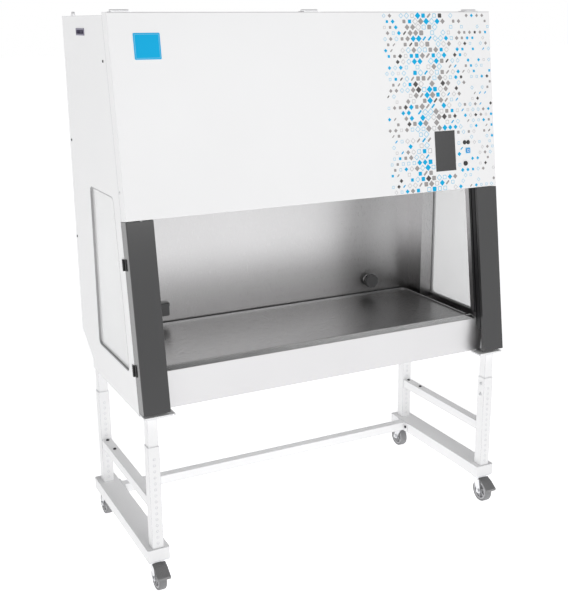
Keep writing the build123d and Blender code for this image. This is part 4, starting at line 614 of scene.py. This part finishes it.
def grille_z(y):
    """Height of the folded sheet's upper face."""
    if y < GRILLE_VALLEY:
        share = (y - GRILLE_FRONT) / (GRILLE_VALLEY - GRILLE_FRONT)
        return GRILLE_TOP + (VALLEY_TOP - GRILLE_TOP) * share
    share = (y - GRILLE_VALLEY) / (GRILLE_REAR - GRILLE_VALLEY)
    return VALLEY_TOP + (REAR_TOP - VALLEY_TOP) * share


def sheet_strip(piece, x0, x1, y0, y1):
    """A plain piece of the folded sheet."""
    corners = ((x0, y0), (x1, y0), (x1, y1), (x0, y1))
    piece.loft(*[[(x, y, grille_z(y) - under) for x, y in corners] for under in (0.0, SHEET)])


def grille_bar(piece, x, y0, y1, lean):
    """A rounded bar between two slots; lean shifts its far end to the left."""
    section = [(0.0, -SHEET), (BAR, -SHEET)] + [(share * BAR, rise) for share, rise in BAR_CROWN]
    piece.loft(*[[(x + across - shift, y, grille_z(y) + rise) for across, rise in section]
                 for y, shift in ((y0, 0.0), (y1, lean))])


def slotted_row(piece, y0, y1, lean):
    """The bars of one side of the V, with a plain strip at both ends."""
    first = -GRILLE_HALF + END_MARGIN
    for index in range(int(2 * (GRILLE_HALF - END_MARGIN) / SLOT_PITCH) + 1):
        grille_bar(piece, first + index * SLOT_PITCH, y0, y1, lean)
    sheet_strip(piece, -GRILLE_HALF, -GRILLE_HALF + LAND, y0, y1)
    sheet_strip(piece, GRILLE_HALF - LAND, GRILLE_HALF, y0, y1)


def intake_grille():
    """Folded V of sheet with two rows of bars and a skirt at the front and the rear."""
    grille = Piece("intake_grille")
    for y0, y1 in ((GRILLE_FRONT, GRILLE_FRONT + LAND), (GRILLE_VALLEY - LAND, GRILLE_VALLEY),
                   (GRILLE_VALLEY, GRILLE_VALLEY + LAND), (GRILLE_REAR - LAND, GRILLE_REAR)):
        sheet_strip(grille, -GRILLE_HALF, GRILLE_HALF, y0, y1)
    inset = LAND - OVERLAP
    slotted_row(grille, GRILLE_FRONT + inset, GRILLE_VALLEY - inset, 0.0)
    slotted_row(grille, GRILLE_VALLEY + inset, GRILLE_REAR - inset, SLANT * (GRILLE_REAR - GRILLE_VALLEY))
    for y0, top in ((GRILLE_FRONT, GRILLE_TOP), (GRILLE_REAR - SHEET, REAR_TOP)):
        grille.box((-GRILLE_HALF, y0, top - SKIRT), (GRILLE_HALF, y0 + SHEET, top - SKIRT_GAP))
    grille.finish(PAINTED_HIGHLIGHT_GRILLE_STEEL, "grille", "stainless", replaces=["air_grille"], smooth_under=50.0)


# ---------------------------------------------------------------- painted highlight on the bead of the tray
tray_low, tray_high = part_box("work_tray")
BEAD_CORNER = 0.024
BEAD_START = tray_low.y + 0.002
BEAD_SECTION = ((0.0012, -0.0004), (0.0022, 0.0004), (0.0048, 0.0004), (0.0058, -0.0004))  # inset and height


def bead_line(inset, steps=6):
    """Plan of the bead: down one side, round both rear corners and back to the front."""
    half, rear, radius = tray_high.x - inset, tray_high.y - inset, BEAD_CORNER - inset
    points = [(half, BEAD_START)]
    for quarter, middle in ((0, half - radius), (1, radius - half)):
        for step in range(steps + 1):
            angle = math.pi / 2 * (quarter + step / steps)
            points.append((middle + radius * math.cos(angle), rear - radius + radius * math.sin(angle)))
    points.append((-half, BEAD_START))
    return points


def painted_bead_highlight():
    """A painted highlight: a strip of pale metal along the top of the tray's rolled edge."""
    runs = [[(x, y, tray_high.z + rise) for x, y in bead_line(inset)] for inset, rise in BEAD_SECTION]
    bead = Piece("painted_bead_highlight")
    bead.loft(*zip(*runs))
    bead.finish(PALE_METAL, "tray", "stainless")


# ---------------------------------------------------------------- castor wheels and pedals
TYRE = mirrored([(0.0389, -0.0135), (0.0445, -0.0160), (0.0472, -0.0156), (0.0490, -0.0142),
                 (0.0498, -0.0118), (0.0500, -0.0070)])
RIM = mirrored([(0.0338, -0.0090), (0.0352, -0.0148), (0.0396, -0.0148), (0.0404, -0.0138),
                (0.0390, -0.0120)])
BOSS = mirrored([(0.0051, -0.0180), (0.0115, -0.0180), (0.0122, -0.0172), (0.0128, -0.0040),
                 (0.0345, -0.0032)])
SPOKE = ((0.0118, -0.0014), (0.0348, -0.0020), (0.0348, 0.0020), (0.0118, 0.0014))
SPOKES, SPOKE_HALF = 6, 0.0125
TRAIL = 0.032                               # a front wheel's swivel axis lies this far behind its axle
PEDAL_TOP = ((0.0340, 0.1130), (0.0624, 0.1020), (0.0930, 0.0803))     # reach from the swivel, and height
RIBS, RIB_PITCH, RIB_HALF = 9, 0.0060, 0.0012
RIB_SINK, RIB_RISE = 0.0006, 0.0012


def wheel_centre(corner):
    """Middle of the castor wheel at this corner of the stand."""
    low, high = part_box("castor_wheel_" + corner)
    return (low + high) / 2


def castor_wheel(corner):
    """The tyre, and the hub with its rim, boss and spokes."""
    place = Matrix.Translation(wheel_centre(corner)) @ ALONG_X
    tyre = Piece("tyre_" + corner)
    tyre.lathe(TYRE, place, 64)
    tyre.finish(TREAD, "wheel_" + corner, "rubber", replaces=["castor_wheel_" + corner])
    hub = Piece("wheel_hub_" + corner)
    hub.lathe(RIM, place, 64)
    hub.lathe(BOSS, place)
    for spoke in range(SPOKES):
        turn = place @ Matrix.Rotation(2 * math.pi * spoke / SPOKES, 4, "Z")
        hub.prism(SPOKE, -SPOKE_HALF, SPOKE_HALF, turn)
    hub.finish(HUB, "wheel_" + corner, "wheel_grey", bevel=0.0004)


def pedal_ribs(corner):
    """Raised ribs that follow the tread of a brake pedal."""
    centre = wheel_centre(corner)
    swivel_y = centre.y + TRAIL
    ribs = Piece("pedal_ribs_" + corner)
    for index in range(RIBS):
        x = centre.x + (index - (RIBS - 1) / 2) * RIB_PITCH
        for near, far in zip(PEDAL_TOP, PEDAL_TOP[1:]):
            corners = ((near, -RIB_SINK), (far, -RIB_SINK), (far, RIB_RISE), (near, RIB_RISE))
            ribs.loft(*[[(side, swivel_y - reach, height + rise) for (reach, height), rise in corners]
                        for side in (x - RIB_HALF, x + RIB_HALF)])
    ribs.finish(PEDAL, "pedal_" + corner, "dark_plastic")


# ---------------------------------------------------------------- fasteners and plugs
WELD = 1e-6
TOUCH = 1e-5
SHANK = 0.0015                              # a head reaches this far into what it holds
RIM_FROM = 0.9                              # share of a head's radius where its rim begins
CLAMPS_ABOVE = 0.45
SHELF_BELOW, ROOF_ABOVE = 0.75, 2.1
LEG_FRONTS = (-0.35275, 0.29125)            # front faces of the front and rear outer legs
FIRST_HOLE, HOLE_PITCH, HOLES = 0.1997, 0.025, 15
PLUG_PROFILE = [(0, -0.0022, 0), (0.0036, -0.0022, 0), (0.0044, -0.0014, 0), (0.0044, -0.0006, 0),
                (0.0036, -0.0002, 0), (0, 0.0, 0)]


def loose_parts(node):
    """The points of each loose part of a CAD node."""
    work = bmesh.new()
    work.from_mesh(nodes[node].data)
    bmesh.ops.remove_doubles(work, verts=work.verts, dist=WELD)
    seen = set()
    parts = []
    for start in work.verts:
        if start in seen:
            continue
        seen.add(start)
        stack = [start]
        part = []
        while stack:
            vert = stack.pop()
            part.append(vert.co.copy())
            for edge in vert.link_edges:
                other = edge.other_vert(vert)
                if other not in seen:
                    seen.add(other)
                    stack.append(other)
        parts.append(part)
    work.free()
    return parts


def screw_head(piece, points):
    """A button-head screw with a hexagon socket in the place of a plain head."""
    low = Vector([min(point[k] for point in points) for k in range(3)])
    high = Vector([max(point[k] for point in points) for k in range(3)])
    size = high - low
    base = (low + high) / 2
    uneven = [abs(size[(k + 1) % 3] - size[(k + 2) % 3]) for k in range(3)]
    axis = uneven.index(min(uneven))
    across, beside = (axis + 1) % 3, (axis + 2) % 3
    radius = size[across] / 2
    rim = [point[axis] for point in points
           if math.hypot(point[across] - base[across], point[beside] - base[beside]) > RIM_FROM * radius]
    sign = 1.0 if max(rim) >= high[axis] - TOUCH else -1.0
    base[axis] = min(rim) if sign > 0 else max(rim)
    height = max(rim) - min(rim)
    outward = Vector([sign if k == axis else 0.0 for k in range(3)])
    place = Matrix.Translation(base) @ outward.to_track_quat("Z", "Y").to_matrix().to_4x4()
    socket = 0.42 * radius
    piece.turned([(0, -SHANK, 0), (0.5 * radius, -SHANK, 0), (radius, 0.0, 0), (radius, 0.35 * height, 0),
                  (0.93 * radius, 0.68 * height, 0), (0.78 * radius, 0.90 * height, 0),
                  (0.60 * radius, height, 0), (socket, height, 6), (socket, 0.45 * height, 6),
                  (0, 0.45 * height, 0)], place)


def stand_fasteners():
    """Pale clamp screws on the legs and dark bolts on the rails."""
    clamps = Piece("clamp_screws")
    bolts = Piece("rail_bolts")
    for part in loose_parts("stand_screws"):
        middle = sum(point.z for point in part) / len(part)
        screw_head(clamps if middle > CLAMPS_ABOVE else bolts, part)
    clamps.finish(PALE_PLASTIC, "stand", "zinc_plate", replaces=["stand_screws"])
    bolts.finish(DARK_METAL, "stand", "dark_fasteners")


def cabinet_fasteners():
    """Bright screws at the shelves below the posts and on the roof, dark ones elsewhere."""
    dark = Piece("casing_screws")
    bright = Piece("shelf_and_lifting_screws")
    for part in loose_parts("cabinet_screws"):
        foot = min(point.z for point in part)
        screw_head(bright if foot < SHELF_BELOW or foot > ROOF_ABOVE else dark, part)
    bright.finish(PALE_METAL, "cabinet", "zinc_plate")
    dark.finish(DARK_METAL, "cabinet", "dark_fasteners", replaces=["cabinet_screws"])


def leg_hole_plugs():
    """White plugs that close the rows of holes in the outer legs."""
    leg_x = wheel_centre("front_right").x
    plugs = Piece("leg_hole_plugs")
    for x in (-leg_x, leg_x):
        for y in LEG_FRONTS:
            for index in range(HOLES):
                place = Matrix.Translation((x, y, FIRST_HOLE + index * HOLE_PITCH)) @ TO_FRONT
                plugs.turned(PLUG_PROFILE, place, 16)
    plugs.finish(PLUG, "stand", "white_powder_coat")


# ---------------------------------------------------------------- floor, light and camera
FLOOR_HALF = 60.0
FLOOR_GLOW = 0.76
SKY_LOW, SKY_HIGH = (0.10, (1, 1, 1, 1)), (0.62, (0.20, 0.20, 0.205, 1))     # height and colour
CAMERA_PLACE = (-1.8423, -3.58655, 2.1364)
CAMERA_YAW, CAMERA_PITCH, CAMERA_ROLL = -27.21, -15.34, -0.32                   # degrees
CAMERA_LENS, CAMERA_SENSOR = 58.456, 36.0                                       # millimetres
CAMERA_SHIFT = (-0.01972, -0.01957)


def studio_floor():
    """A pale floor with a faint glow of its own, so that it stays nearly white."""
    look, _, shader = new_material("studio_floor")
    shader.inputs["Base Color"].default_value = (0.86, 0.86, 0.87, 1)
    shader.inputs["Roughness"].default_value = 0.9
    shader.inputs["Emission Color"].default_value = (1, 1, 1, 1)
    shader.inputs["Emission Strength"].default_value = FLOOR_GLOW
    mesh = bpy.data.meshes.new("studio_floor")
    corners = [(x, y, 0) for x, y in ((-1, -1), (1, -1), (1, 1), (-1, 1))]
    mesh.from_pydata([Vector(corner) * FLOOR_HALF for corner in corners], [], [(0, 1, 2, 3)])
    mesh.materials.append(look)
    add_object("studio_floor", mesh)


def studio_sky():
    """White light from the horizon that turns grey overhead."""
    world = bpy.data.worlds.new("studio")
    bpy.context.scene.world = world
    world.use_nodes = True
    tree = world.node_tree
    direction = tree.nodes.new("ShaderNodeTexCoord")
    split = tree.nodes.new("ShaderNodeSeparateXYZ")
    tree.links.new(direction.outputs["Generated"], split.inputs["Vector"])
    ramp = tree.nodes.new("ShaderNodeValToRGB")
    for element, (position, colour) in zip(ramp.color_ramp.elements, (SKY_LOW, SKY_HIGH)):
        element.position = position
        element.color = colour
    tree.links.new(split.outputs["Z"], ramp.inputs["Fac"])
    background = tree.nodes["Background"]
    tree.links.new(ramp.outputs["Color"], background.inputs["Color"])
    background.inputs["Strength"].default_value = 1.0


def area_light(name, place, target, width, height, power):
    """A soft rectangular lamp that faces its target."""
    light = bpy.data.lights.new(name, "AREA")
    light.shape = "RECTANGLE"
    light.size = width
    light.size_y = height
    light.energy = power
    lamp = add_object(name, light)
    lamp.location = place
    lamp.rotation_mode = "QUATERNION"
    lamp.rotation_quaternion = (Vector(target) - Vector(place)).to_track_quat("-Z", "Y")


def view_camera():
    """The camera, in front and to the left, looking slightly down."""
    optics = bpy.data.cameras.new("camera")
    optics.lens = CAMERA_LENS
    optics.sensor_width = CAMERA_SENSOR
    optics.shift_x, optics.shift_y = CAMERA_SHIFT
    camera = add_object("camera", optics)
    camera.matrix_world = (Matrix.Translation(CAMERA_PLACE)
                           @ Matrix.Rotation(math.radians(CAMERA_YAW), 4, "Z")
                           @ Matrix.Rotation(math.radians(90 + CAMERA_PITCH), 4, "X")
                           @ Matrix.Rotation(math.radians(CAMERA_ROLL), 4, "Z"))
    bpy.context.scene.camera = camera


# ---------------------------------------------------------------- the whole scene
printed_pattern()
corner_plate()
display_screen()
direction_mark("up_mark", "up_button", UP_BUTTON, math.pi / 2)
direction_mark("down_mark", "down_button", DOWN_BUTTON, -math.pi / 2)
control_ring("up_ring", UP_BUTTON, BUTTON_RING)
control_ring("down_ring", DOWN_BUTTON, BUTTON_RING)
control_ring("key_ring", KEY_SWITCH, KEY_RING)
light_button_trim()
intake_grille()
painted_bead_highlight()
for corner in CORNERS:
    castor_wheel(corner)
for corner in CORNERS[:2]:
    pedal_ribs(corner)
stand_fasteners()
cabinet_fasteners()
leg_hole_plugs()

studio_floor()
studio_sky()
area_light("key_light", place=(-4.5, -2.0, 1.6), target=(0, 0, 1.1), width=3.5, height=3.0, power=30)
area_light("front_light", place=(1.5, -5.0, 2.9), target=(0, 0, 1.0), width=4.0, height=2.0, power=60)
view_camera()
bpy.context.scene.view_settings.view_transform = "Standard"
bpy.context.scene.view_settings.look = "None"
